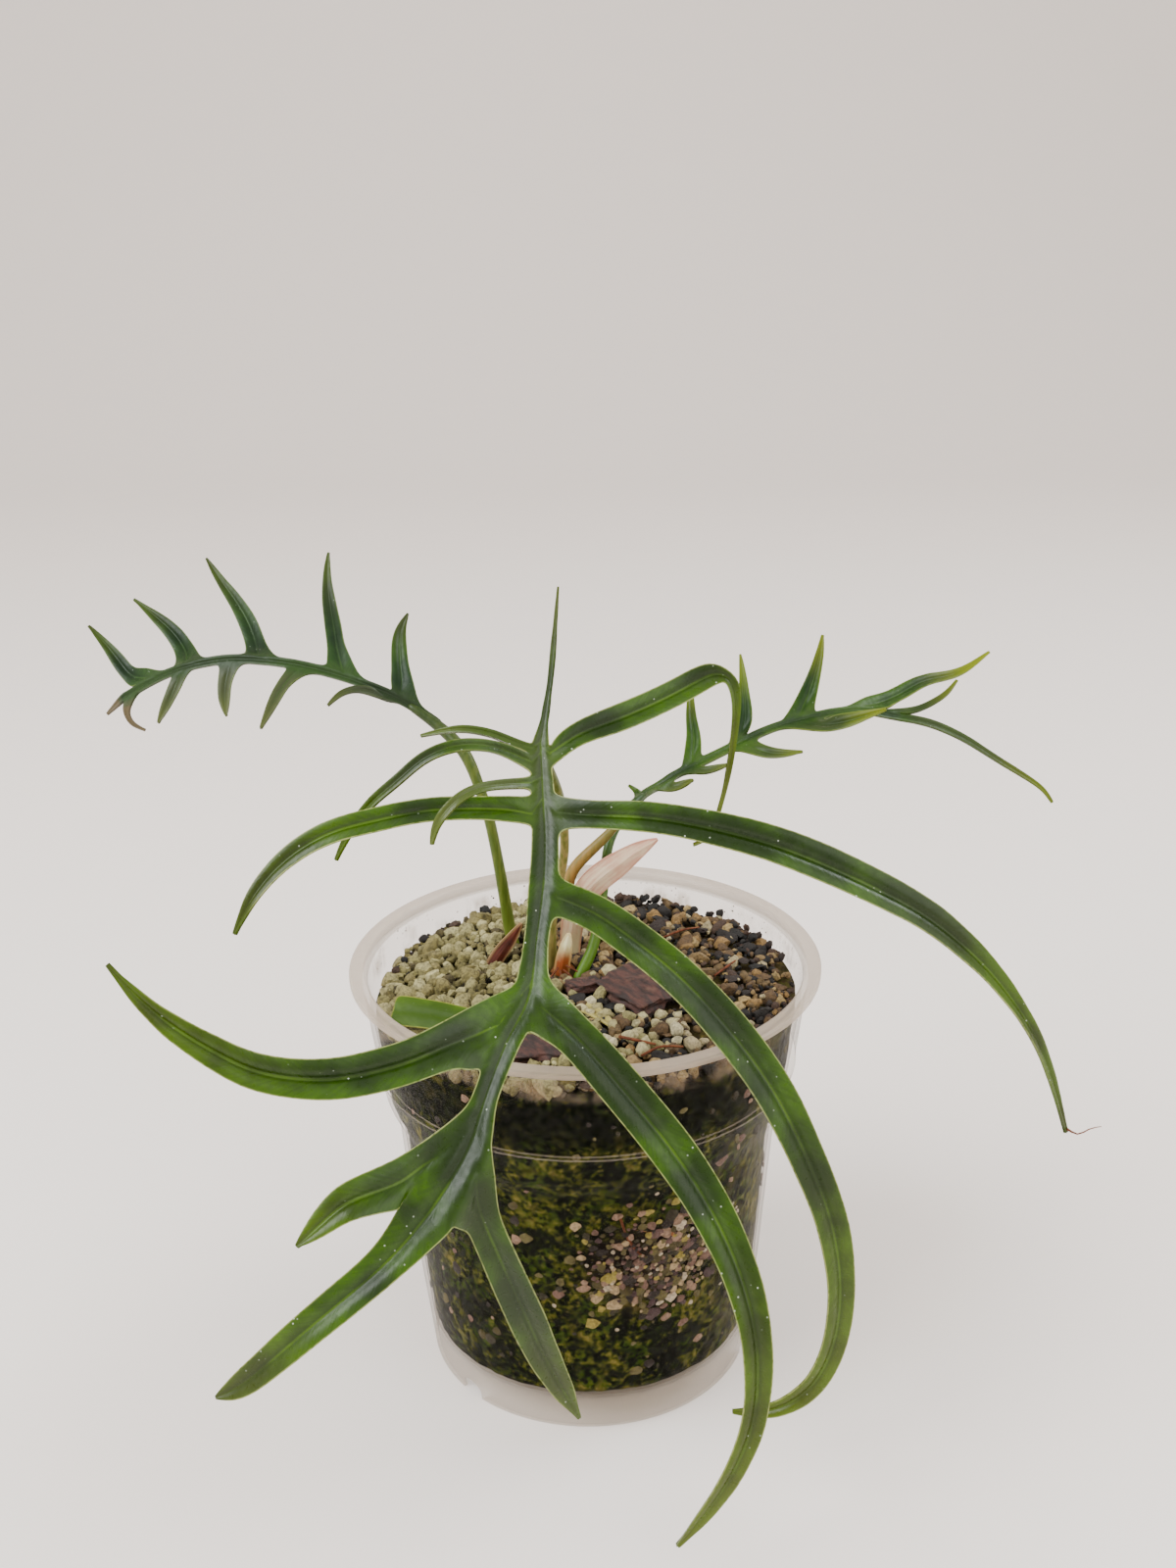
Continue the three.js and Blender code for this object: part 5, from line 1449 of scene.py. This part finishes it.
@dataclass
class Fill:
    """Potting mix up to a low mound, with pumice over its left half and pebbles over its right."""

    edge: float = 102.6
    crown: float = 106.2
    tilt: float = 1.8
    tilt_angle: float = 40.0
    top_radius: float = 55.0
    wave: float = 0.35
    wave_x: float = 4.3
    wave_y: float = 5.1
    sides: int = 150
    side_rows: int = 61
    side_height: float = 92.0
    top_rows: int = 26
    top_depth: float = 1.2
    rim_level: float = 102.0
    tries: int = 25
    pressed_count: int = 770
    pressed_tries: int = 9000
    pressed_span: tuple[float, float] = (14.0, 99.0)
    pressed_size: tuple[float, float] = (0.45, 1.8)
    patch_turn: float = -67.0
    patch_spread: float = 0.2
    patch_height: float = 50.0
    patch_rise: float = 6.0
    pale_middle: tuple[float, float] = (7.0, -20.0)
    pale_reach: float = 20.0
    pale_end: float = 24.0
    crumb_width: float = 4.0
    crumb_start: float = 8.0
    walls: tuple[tuple[float, float], ...] = (
        (10.5, 42.85), (26, 44.65), (55, 46.95), (70, 48.2), (72.3, 48.5), (77.2, 50.6), (79, 51.5),
        (94, 53.2), (103.5, 54.3))
    pumice_edge: tuple[tuple[float, float], ...] = (
        (-62, -4), (-44, 0), (-30, 3), (-16, -2), (-4, -15), (12, -12.5), (30, -9), (62, -4))
    stems: tuple[tuple[float, float, float], ...] = (
        (-8.7, 8, 2.2), (-18.8, 22, 2.2), (-2, 0.5, 2.3), (-4.5, 14, 2.2), (-6, 4.5, 3.4), (-22, 11, 2.5),
        (12, -11, 6.6), (17, -17, 4), (7, -6, 3.5), (-12, -36, 4.5), (-17, -36, 3), (-7, -36, 3),
        (-0.6, -7.6, 3.4))

    def surface(self, x: float, y: float) -> float:
        """Height of the fill at a place."""
        share = min(math.hypot(x, y) / self.top_radius, 1)
        tilt = self.tilt * share * math.cos(math.atan2(y, x) - math.radians(self.tilt_angle))
        mound = (self.crown - self.edge) * (1 - share * share)
        wave = self.wave * math.sin(x / self.wave_x) * math.cos(y / self.wave_y)
        return self.edge + tilt + mound + wave

    @staticmethod
    def between(rows: Sequence[tuple[float, float]], mark: float) -> float:
        """Value at a mark in rows of marks and values, of which the last holds beyond its mark."""
        for (low, near), (high, far) in zip(rows, rows[1:]):
            if mark <= high:
                return mix(near, far, (mark - low) / (high - low))
        return rows[-1][1]

    def wall_radius(self, z: float) -> float:
        """Radius of the mix at a height."""
        return self.between(self.walls, z)

    def edge_at(self, y: float) -> float:
        """Where the pumice ends at a place along Y."""
        return self.between(self.pumice_edge, y)

    def build(self) -> None:
        """Build the body of the mix, its pebbles and the pumice."""
        soil = PEBBLE.make()
        bed = [
            self.body(),
            self.heap("pebbles", 23, soil, self.east, (
                Layer(620, 0.5, 1.3, 0.2, (0.0, 0.4)), Layer(210, 0.9, 1.7, 0.1, (0.4, 1.0)),
                Layer(110, 1.4, 2.4, 0.2, (0.3, 1.0)), Layer(90, 1.2, 2.6, 0.5, (0.0, 0.5), 0.3),
                Layer(240, 0.4, 0.9, 1.4, (0.2, 1.0)))),
            self.heap("rim_crumbs", 41, soil, self.by_rim, (Layer(70, 0.5, 1.5, 1.5, (0.0, 0.35)),)),
            self.heap("pale_grains", 31, PALE_PUMICE.make(), self.by_crown, (Layer(48, 1.2, 2.2, 0.7),)),
            self.pressed()]
        hand_over(join(bed, "potting_mix_bed"), "mix", "potting_mix")
        pumice = self.heap("pumice_bed", 7, PUMICE.make(), self.west, (
            Layer(420, 0.8, 1.5, -0.2, (0.0, 0.4)), Layer(380, 1.2, 1.9, 0.4, (0.3, 1.0)),
            Layer(90, 1.8, 2.7, 0.6, (0.5, 1.0)), Layer(260, 0.5, 1.0, 1.5, (0.2, 1.0))))
        hand_over(pumice, "pumice", "pumice_dressing")

    def west(self, x: float, y: float, size: float) -> bool:
        """Whether a grain lies in the pumice."""
        return x < self.edge_at(y) - 0.4 * size

    def east(self, x: float, y: float, size: float) -> bool:
        """Whether a grain lies on the bare mix."""
        return x > self.edge_at(y) + 0.2 * size

    def by_crown(self, x: float, y: float, size: float) -> bool:
        """Whether a pale grain lies right of the crown, among the pebbles."""
        away = math.hypot(x - self.pale_middle[0], y - self.pale_middle[1])
        return self.east(x, y, size) and away < self.pale_reach and x < self.pale_end

    def by_rim(self, x: float, y: float, size: float) -> bool:
        """Whether a dark crumb lies against the wall at the back."""
        inner = self.wall_radius(self.rim_level) - self.crumb_width
        return y > self.crumb_start and math.hypot(x, y) > inner - size

    def side_point(self, turn: float, share: float) -> Vector:
        """Point on the side of the mix, at a share of its height, with hollows between the crumbs."""
        low = self.walls[0][0]
        height = low + self.side_height * share
        spot = Vector((math.cos(turn) * 50, math.sin(turn) * 50, height))
        rough = noise.fractal(spot * 0.22, 0.8, 2.0, 4) + noise.noise(spot * 0.09)
        radius = self.wall_radius(height) - 0.15 - 0.4 * max(rough + 0.3, 0)
        x, y = radius * math.cos(turn), radius * math.sin(turn)
        return Vector((x, y, mix(low, self.surface(x, y) - self.top_depth, share)))

    def top_point(self, turn: float, share: float) -> Vector:
        """Point on the rough top of the mix, at a share of its radius."""
        radius = (self.wall_radius(self.rim_level) - 0.7) * share
        x, y = radius * math.cos(turn), radius * math.sin(turn)
        rough = 0.9 * noise.fractal(Vector((x, y, 5)) * 0.25, 0.8, 2.0, 3)
        return Vector((x, y, self.surface(x, y) - self.top_depth + rough))

    def body(self) -> bpy.types.Object:
        """Column of mix with a rough side and a rough top."""
        turns = turns_of(self.sides)
        rings = [[self.side_point(turn, step / self.side_rows) for turn in turns]
                 for step in range(self.side_rows + 1)]
        rings += [[self.top_point(turn, 1 - step / (self.top_rows + 1)) for turn in turns]
                  for step in range(1, self.top_rows + 1)]
        cage = Cage("mix_body", rings, ring=True)
        cage.close()
        body = cage.done(outward=True)
        body.data.materials.append(MixFinish().make())
        shade(body)
        return body

    def heap(self, name: str, seed: int, finish: bpy.types.Material,
             accepts: Callable[[float, float, float], bool], layers: Sequence[Layer]) -> bpy.types.Object:
        """Scatter grains in layers.

        Args:
            name: The piece's name.
            seed: Seed of the draw.
            finish: The grains' material.
            accepts: Says whether a grain of a size may lie at a place.
            layers: The layers, from the lowest up.

        Returns:
            The grains as one object.
        """
        grains = Grains(name, seed)
        draw = grains.draw
        for layer in layers:
            for x, y, size in self.places(layer, draw, accepts):
                shape = grains.pick()
                sizes = np.array([1 + 0.4 * draw.random(), 0.8 + 0.3 * draw.random(), layer.flat]) * size
                turn = Matrix.Rotation(draw.random() * 6.28, 3, "Z") @ Matrix.Rotation(
                    draw.random() * layer.lean, 3, "X") @ Matrix.Rotation(draw.random() * 6.28, 3, "Z")
                place = (x, y, self.surface(x, y) + layer.lift * size)
                grains.lay(shape, sizes, turn, place, mix(*layer.tints, draw.random()))
        return grains.done(finish)

    def pressed(self) -> bpy.types.Object:
        """Pebbles pressed against the wall, thick in one patch and sparse elsewhere."""
        grains = Grains("pressed_pebbles", 5)
        draw = grains.draw
        placed: list[tuple[Vector, float]] = []
        for index in range(self.pressed_tries):
            if len(placed) >= self.pressed_count:
                break
            in_patch = index % 4 > 0
            turn = draw.random() * 2 * math.pi
            z = mix(*self.pressed_span, draw.random())
            if in_patch:
                turn = draw.gauss(math.radians(self.patch_turn), self.patch_spread)
                z = draw.gauss(self.patch_height, self.patch_rise)
            size = mix(*self.pressed_size, draw.random() ** 2)
            away = self.wall_radius(z) + 0.25 - 0.3 * size
            place = Vector((away * math.cos(turn), away * math.sin(turn), z))
            if any((place - other).length < 0.62 * (size + wide) for other, wide in placed):
                continue
            placed.append((place, size))
            shape = grains.pick()
            sizes = np.array([0.3, 1 + 0.3 * draw.random(), 0.8 + 0.4 * draw.random()]) * size
            tint = draw.random() * (1.0 if in_patch else 0.5)
            grains.lay(shape, sizes, Matrix.Rotation(turn, 3, "Z"), place, tint)
        return grains.done(WALL_PEBBLE.make())

    def places(self, layer: Layer, draw: random.Random,
               accepts: Callable[[float, float, float], bool]) -> list[tuple[float, float, float]]:
        """Draw where one layer's grains lie.

        Args:
            layer: The layer.
            draw: The random draw.
            accepts: Says whether a grain of a size may lie at a place.

        Returns:
            x, y and size of each grain.
        """
        placed: list[tuple[float, float, float]] = []
        for _ in range(layer.count * self.tries):
            if len(placed) >= layer.count:
                break
            size = mix(layer.least, layer.most, draw.random() ** 1.5)
            turn = draw.random() * 2 * math.pi
            away = (self.wall_radius(self.rim_level) - size - 0.4) * math.sqrt(draw.random())
            x, y = away * math.cos(turn), away * math.sin(turn)
            if not accepts(x, y, size):
                continue
            if any(math.hypot(x - a, y - b) < c + 0.6 * size for a, b, c in self.stems):
                continue
            if any(math.hypot(x - a, y - b) < 0.8 * (c + size) for a, b, c in placed):
                continue
            placed.append((x, y, size))
        return placed


ROOT_LINE = [
    (7.5, -46.9, 66, 0.35), (9.4, -46, 59.2, 0.4), (12.9, -44.6, 52.8, 0.45), (18, -42.6, 50.4, 0.35),
    (24, -39.3, 48.2, 0.2)]

DRIED_THREAD = [
    (114.8, -40, 84, 0.3), (117.5, -40.2, 82.6, 0.18), (120.5, -40.6, 84.4, 0.14), (122.8, -40.8, 85, 0.08)]

FIBRES = [
    [(-7, 1.5, 108, 0.3), (-8.5, -0.5, 106.8, 0.28), (-10.5, -2.5, 105.6, 0.2)],
    [(-6.5, 0.8, 107.5, 0.3), (-6.2, -2.2, 106.6, 0.28), (-7.5, -5.5, 105.6, 0.2)],
    [(-5.6, 1, 107.5, 0.3), (-3.6, -1.5, 106.8, 0.26), (-3, -5, 105.8, 0.2)],
    [(-5, 1.6, 108.5, 0.25), (-2, 0.2, 107.4, 0.22), (0.5, -1.5, 106, 0.18)]]

TWIGS = [
    [(8, -33, 106.6, 0.35), (12, -35.5, 107, 0.35), (16.5, -37, 106.6, 0.3)],
    [(13, -41.5, 106.2, 0.3), (17.5, -38.5, 106.8, 0.3), (23, -37.5, 106.2, 0.25)],
    [(21, 20, 107.3, 0.3), (26, 22.5, 108.2, 0.3), (31, 26, 107.4, 0.2)],
    [(33, -2, 106.8, 0.3), (37, 2.5, 107.4, 0.3), (40, 8, 106.6, 0.2)]]


@dataclass
class Chip:
    """A chip of bark that lies on the mix."""

    node: str
    at: tuple[float, float, float]
    size: tuple[float, float, float]
    turn: float
    tilt: float
    seed: float

    def build(self, fill: Fill, finish: bpy.types.Material) -> bpy.types.Object:
        """Build and dress the chip.

        Args:
            fill: The fill that it lies on.
            finish: Its material.

        Returns:
            The finished piece.
        """
        chip = added(bpy.ops.mesh.primitive_cube_add, size=2 * MM)
        chip.name = f"{self.node}_flake"
        bpy.ops.object.mode_set(mode="EDIT")
        bpy.ops.mesh.select_all(action="SELECT")
        bpy.ops.mesh.subdivide(number_cuts=3)
        bpy.ops.object.mode_set(mode="OBJECT")
        refine(chip, 2)
        lie = Matrix.Rotation(math.radians(self.turn), 3, "Z") @ Matrix.Rotation(
            math.radians(self.tilt), 3, "X")
        x, y, lift = self.at
        base = Vector((x, y, fill.surface(x, y) + lift))
        shift = Vector((self.seed, 0, 0))
        moved = []
        for place in points_of(chip):
            point = Vector(place)
            wobble = 1.05 + 0.3 * noise.noise(point * 1.3 + shift) + 0.1 * noise.noise(point * 4 + shift)
            sized = Vector([value * extent * wobble for value, extent in zip(point, self.size)])
            layers = 0.3 * noise.noise(Vector((sized.x * 0.25, sized.y * 0.9, 0)) + shift)
            sized.z += layers * (1 if sized.z > 0 else -1)
            moved.append(base + lie @ sized)
        move_points(chip, np.array(moved))
        chip.data.materials.append(finish)
        shade(chip, 50)
        hand_over(chip, "bark", self.node)
        return chip


# Young growth, dry skins and what lies on the fill


@dataclass
class Skin:
    """A small curled sheet, such as a sheath, a husk or a scrap."""

    name: str
    node: str
    slot: str
    stations: Sequence[Station]
    facing: Sequence[Sequence[float]]
    fold: float
    bulge: float = 0.0
    thick: float = 0.5
    ripple: float = 0.2

    def build(self, finish: bpy.types.Material) -> bpy.types.Object:
        """Build and dress the sheet.

        Args:
            finish: Its material.

        Returns:
            The finished piece.
        """
        sheet = Sheet(self.name, self.stations, self.facing, fold=self.fold, bulge=self.bulge)
        length = len(sheet.rows) - 1
        for index, row in enumerate(sheet.rows):
            for point in row:
                across, reach, half = (sheet.notes[point][key] for key in (0, 4, 5))
                sheet.notes[point] = (across, index / length, 0.0, 0.0, reach, half)
        skin = sheet.finished(levels=3, ripple=self.ripple, seed=self.stations[0][0])
        skin.data.materials.append(finish)
        sheet.thicken(skin, self.thick, least=0.8)
        shade(skin, 60)
        hand_over(skin, self.slot, self.node)
        return skin


SKINS = [
    Skin("pink_cataphyll", "new_sheath", "sheath", [
        (-4, 10.6, 103, 2.4), (-3.5, 9.6, 114, 2.9), (-1.5, 7.8, 122.5, 3.3), (3, 6.5, 129.5, 3.8),
        (9, 7, 134, 3.5), (14, 8, 137.5, 2.3), (19, 9.5, 140, 0.5)],
        [(0, -1, 0), (0.3, -0.9, 0.2)], -0.3, -0.12),
    Skin("old_sheath_stub", "old_sheath", "old_sheath", [
        (-6.4, 2.4, 102.5, 2.1), (-6, 1.9, 108, 2.1), (-5, 1.9, 113, 1.8), (-4, 2.4, 117, 0.6)],
        [(0, -1, 0), (0, -1, 0)], -0.35, -0.1, 0.8),
    Skin("dry_husk_left", "husk_left", "husk", [
        (-25, 9, 103, 2), (-22.5, 11, 107, 2.3), (-19.5, 12.5, 110.5, 1.8), (-16.5, 13.5, 115, 0.5)],
        [(0.4, -0.9, 0.2), (0.5, -0.8, 0.3)], -0.25, -0.1, 0.5, 0.6),
    Skin("dry_husk_right", "husk_right", "husk", [
        (-12.3, 3.5, 103, 1.8), (-12.1, 3, 109, 1.6), (-11.6, 2.8, 114.5, 0.5)],
        [(0, -1, 0.1), (0, -1, 0.1)], -0.2, -0.1, 0.5, 0.5),
    Skin("trimmed_strip", "trimmed_lobe", "cut_lobe", [
        (-47, -22.5, 109.3, 4), (-38, -25, 109.3, 3.8), (-27, -28.5, 108.6, 3.5), (-17, -32, 107.6, 3.1)],
        [(0, -0.65, 0.76), (0, -0.55, 0.83)], -0.12, 0.05, 0.7),
    Skin("dry_scrap", "leaf_scrap", "dry_leaf", [
        (-3, -15, 106, 1.2), (1.5, -19.5, 106.4, 2.2), (5, -24, 106.1, 1.4), (7.5, -28, 105.7, 0.4)],
        [(0, -0.3, 1), (0.2, -0.3, 1)], 0.3, 0.1, 0.4, 0.5)]


@dataclass
class Rods:
    """One stalk or a few thin threads, such as a rolled leaf, a root line or twigs."""

    name: str
    slot: str
    lines: Sequence[Sequence[Station]]
    nodes: tuple[str, ...] = ()
    sides: int = 6
    step: float = 1.5
    levels: int = 0

    def build(self, finish: bpy.types.Material) -> bpy.types.Object:
        """Build and dress the rods.

        Args:
            finish: Their material.

        Returns:
            The finished piece.
        """
        rods = join([tube(f"{self.name}_{index}", line, self.sides, self.step)
                     for index, line in enumerate(self.lines)], self.name)
        if self.levels:
            refine(rods, self.levels)
        rods.data.materials.append(finish)
        hand_over(rods, self.slot, *self.nodes)
        return rods


YOUNG_LEAF = [
    (-4.5, 14.5, 97, 1.4), (-4.5, 13.8, 112, 1.6), (-4.5, 13, 121, 1.7), (-3.5, 12, 130, 1.7),
    (0, 12.5, 134, 1.6), (4, 12.5, 138, 1.5), (8.5, 13, 142.5, 1.1), (11, 13.5, 146, 0.4)]

SPEAR_ROD = Rods("rolled_leaf", "young_leaf", [YOUNG_LEAF], ("young_leaf",), sides=10, step=4.0, levels=1)

THREADS = [
    Rods("wall_root", "root", [ROOT_LINE]), Rods("dried_thread", "leaf", [DRIED_THREAD]),
    Rods("crown_fibres", "root", FIBRES), Rods("twigs", "mix", TWIGS)]

CHIPS = [
    Chip("bark_chip_1", (12.5, -11.5, 1.9), (8.5, 6, 2.2), -52, 9, 1.0),
    Chip("bark_chip_2", (-12, -36, 1.6), (6.5, 4, 1.7), 4, 8, 5.0),
    Chip("bark_chip_3", (-0.6, -7.6, 1.4), (4, 2.6, 1.4), 20, -6, 9.0)]


# The studio


class Lamp(Enum):
    """The soft lights, each with its place and size in metres, its power and its colour."""

    WINDOW = ((-0.9, -0.4, 1.05), 1.0, 30.0, (0.96, 0.98, 1.0))
    FILL = ((0.9, -0.8, 0.7), 1.2, 11.0, (1.0, 0.97, 0.93))
    BACK = ((0.85, 0.3, 0.95), 0.6, 10.0, (0.92, 0.96, 1.0))


@dataclass
class Studio:
    """Pale floor, soft light and the camera."""

    focal: float = 38.25
    pitch: float = 20.16
    roll: float = -0.75
    eye: tuple[float, float, float] = (1.33, -385.35, 300.28)
    floor_size: float = 8.0
    back: float = 1.3
    cove: float = 0.9
    cove_steps: int = 20
    wall_height: float = 2.0
    target: tuple[float, float, float] = (0.0, 0.0, 0.1)
    air: float = 1.15
    pale: Colour = rgb(244, 236, 229)
    grain: Colour = rgb(241, 234, 228)

    def build(self) -> None:
        """Build the whole set."""
        self.camera()
        self.floor()
        self.lights()

    def camera(self) -> None:
        """Set the camera that looks down on the plant."""
        camera = added(bpy.ops.object.camera_add)
        camera.data.lens = self.focal
        camera.data.sensor_width = 36
        camera.data.sensor_fit = "AUTO"
        turn = Matrix.Rotation(math.radians(90 - self.pitch), 4, "X") @ Matrix.Rotation(
            math.radians(self.roll), 4, "Z")
        camera.matrix_world = Matrix.Translation(Vector(self.eye) * MM) @ turn
        bpy.context.scene.camera = camera

    def floor(self) -> None:
        """Lay the floor, which curves up into a wall far behind."""
        floor = added(bpy.ops.mesh.primitive_plane_add, size=self.floor_size,
                      location=(0, self.back - self.floor_size / 2, 0))
        floor.name = "floor"
        settle(floor)
        bpy.ops.object.mode_set(mode="EDIT")
        bpy.ops.mesh.select_mode(type="EDGE")
        bpy.ops.mesh.select_all(action="DESELECT")
        net = bmesh.from_edit_mesh(floor.data)
        for edge in net.edges:
            edge.select = all(vert.co.y > self.back - 0.01 for vert in edge.verts)
        turn = 0.0
        for step in range(self.cove_steps):
            after = (step + 1) / self.cove_steps * math.pi / 2
            rise = self.cove * (math.cos(turn) - math.cos(after))
            run = self.cove * (math.sin(after) - math.sin(turn))
            bpy.ops.mesh.extrude_region_move(TRANSFORM_OT_translate={"value": (0, run, rise)})
            turn = after
        bpy.ops.mesh.extrude_region_move(TRANSFORM_OT_translate={"value": (0, 0, self.wall_height)})
        bpy.ops.object.mode_set(mode="OBJECT")
        shade(floor)
        graph = Graph("floor_finish")
        tint = graph.blend(graph.noise(40, 3), self.pale, self.grain)
        surface = graph.surface(Base_Color=tint, Roughness=0.75)
        floor.data.materials.append(graph.finish(surface.outputs[0]))

    def lights(self) -> None:
        """Hang the lamps and set the air's own light."""
        for lamp in Lamp:
            place, size, power, colour = lamp.value
            light = added(bpy.ops.object.light_add, type="AREA", location=place)
            light.name = f"lamp_{lamp.name.lower()}"
            light.data.size = size
            light.data.energy = power
            light.data.color = colour
            aim = Vector(self.target) - Vector(place)
            light.rotation_euler = aim.to_track_quat("-Z", "Y").to_euler()
        world = bpy.data.worlds.new("soft_air")
        world.use_nodes = True
        background = world.node_tree.nodes["Background"]
        background.inputs["Color"].default_value = (*self.pale, 1)
        background.inputs["Strength"].default_value = self.air
        bpy.context.scene.world = world


def build_fronds() -> None:
    """Build the three fronds, which share one underside."""
    under = UNDERSIDE.make()
    for frond in (
            Frond("frond_front_leaf", "frond_front", "leaf", FRONT_PETIOLE, FRONT_RACHIS,
                  [(0, -0.83, 0.56), (-0.1, -0.88, 0.45)], FRONT_LOBES, FRONT_LEAF, TAN_PETIOLE,
                  1.7, 0.0, 0.4),
            Frond("frond_left_leaf", "frond_left", "old_leaf", LEFT_PETIOLE, LEFT_RACHIS,
                  [(-0.2, -0.75, 0.65), (-0.3, -0.75, 0.6)], LEFT_LOBES, OLD_LEAF, PETIOLE,
                  1.3, 0.15),
            Frond("frond_right_leaf", "frond_right", "old_leaf", RIGHT_PETIOLE, RIGHT_RACHIS,
                  [(-0.3, -0.6, 0.75), (-0.3, -0.6, 0.75)], RIGHT_LOBES, RIPE_LEAF, LIME_PETIOLE,
                  1.3, 0.1)):
        frond.build(under)


def build_small_pieces(fill: Fill) -> None:
    """Build the young leaf, the threads, the skins and the chips that lie on the fill."""
    SPEAR_ROD.build(SPEAR.make())
    fibre = FIBRE.make()
    for thread in THREADS:
        thread.build(fibre)
    husk = HUSK.make()
    finishes = {"new_sheath": PINK_SHEATH.make(), "old_sheath": OLD_SHEATH.make(), "husk_left": husk,
                "husk_right": husk, "trimmed_lobe": CUT_LEAF.make(), "leaf_scrap": SCRAP.make()}
    for skin in SKINS:
        skin.build(finishes[skin.node])
    bark = BARK.make()
    for chip in CHIPS:
        chip.build(fill, bark)


def main() -> None:
    """Build the set and the plant."""
    logging.basicConfig(level=logging.INFO, format="%(message)s")
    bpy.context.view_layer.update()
    Studio().build()
    Pot().build()
    fill = Fill()
    fill.build()
    build_fronds()
    build_small_pieces(fill)
    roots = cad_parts["rootstock"]
    roots.data.materials.clear()
    roots.data.materials.append(ROOT_SKIN.make())


if __name__ == "__main__":
    main()
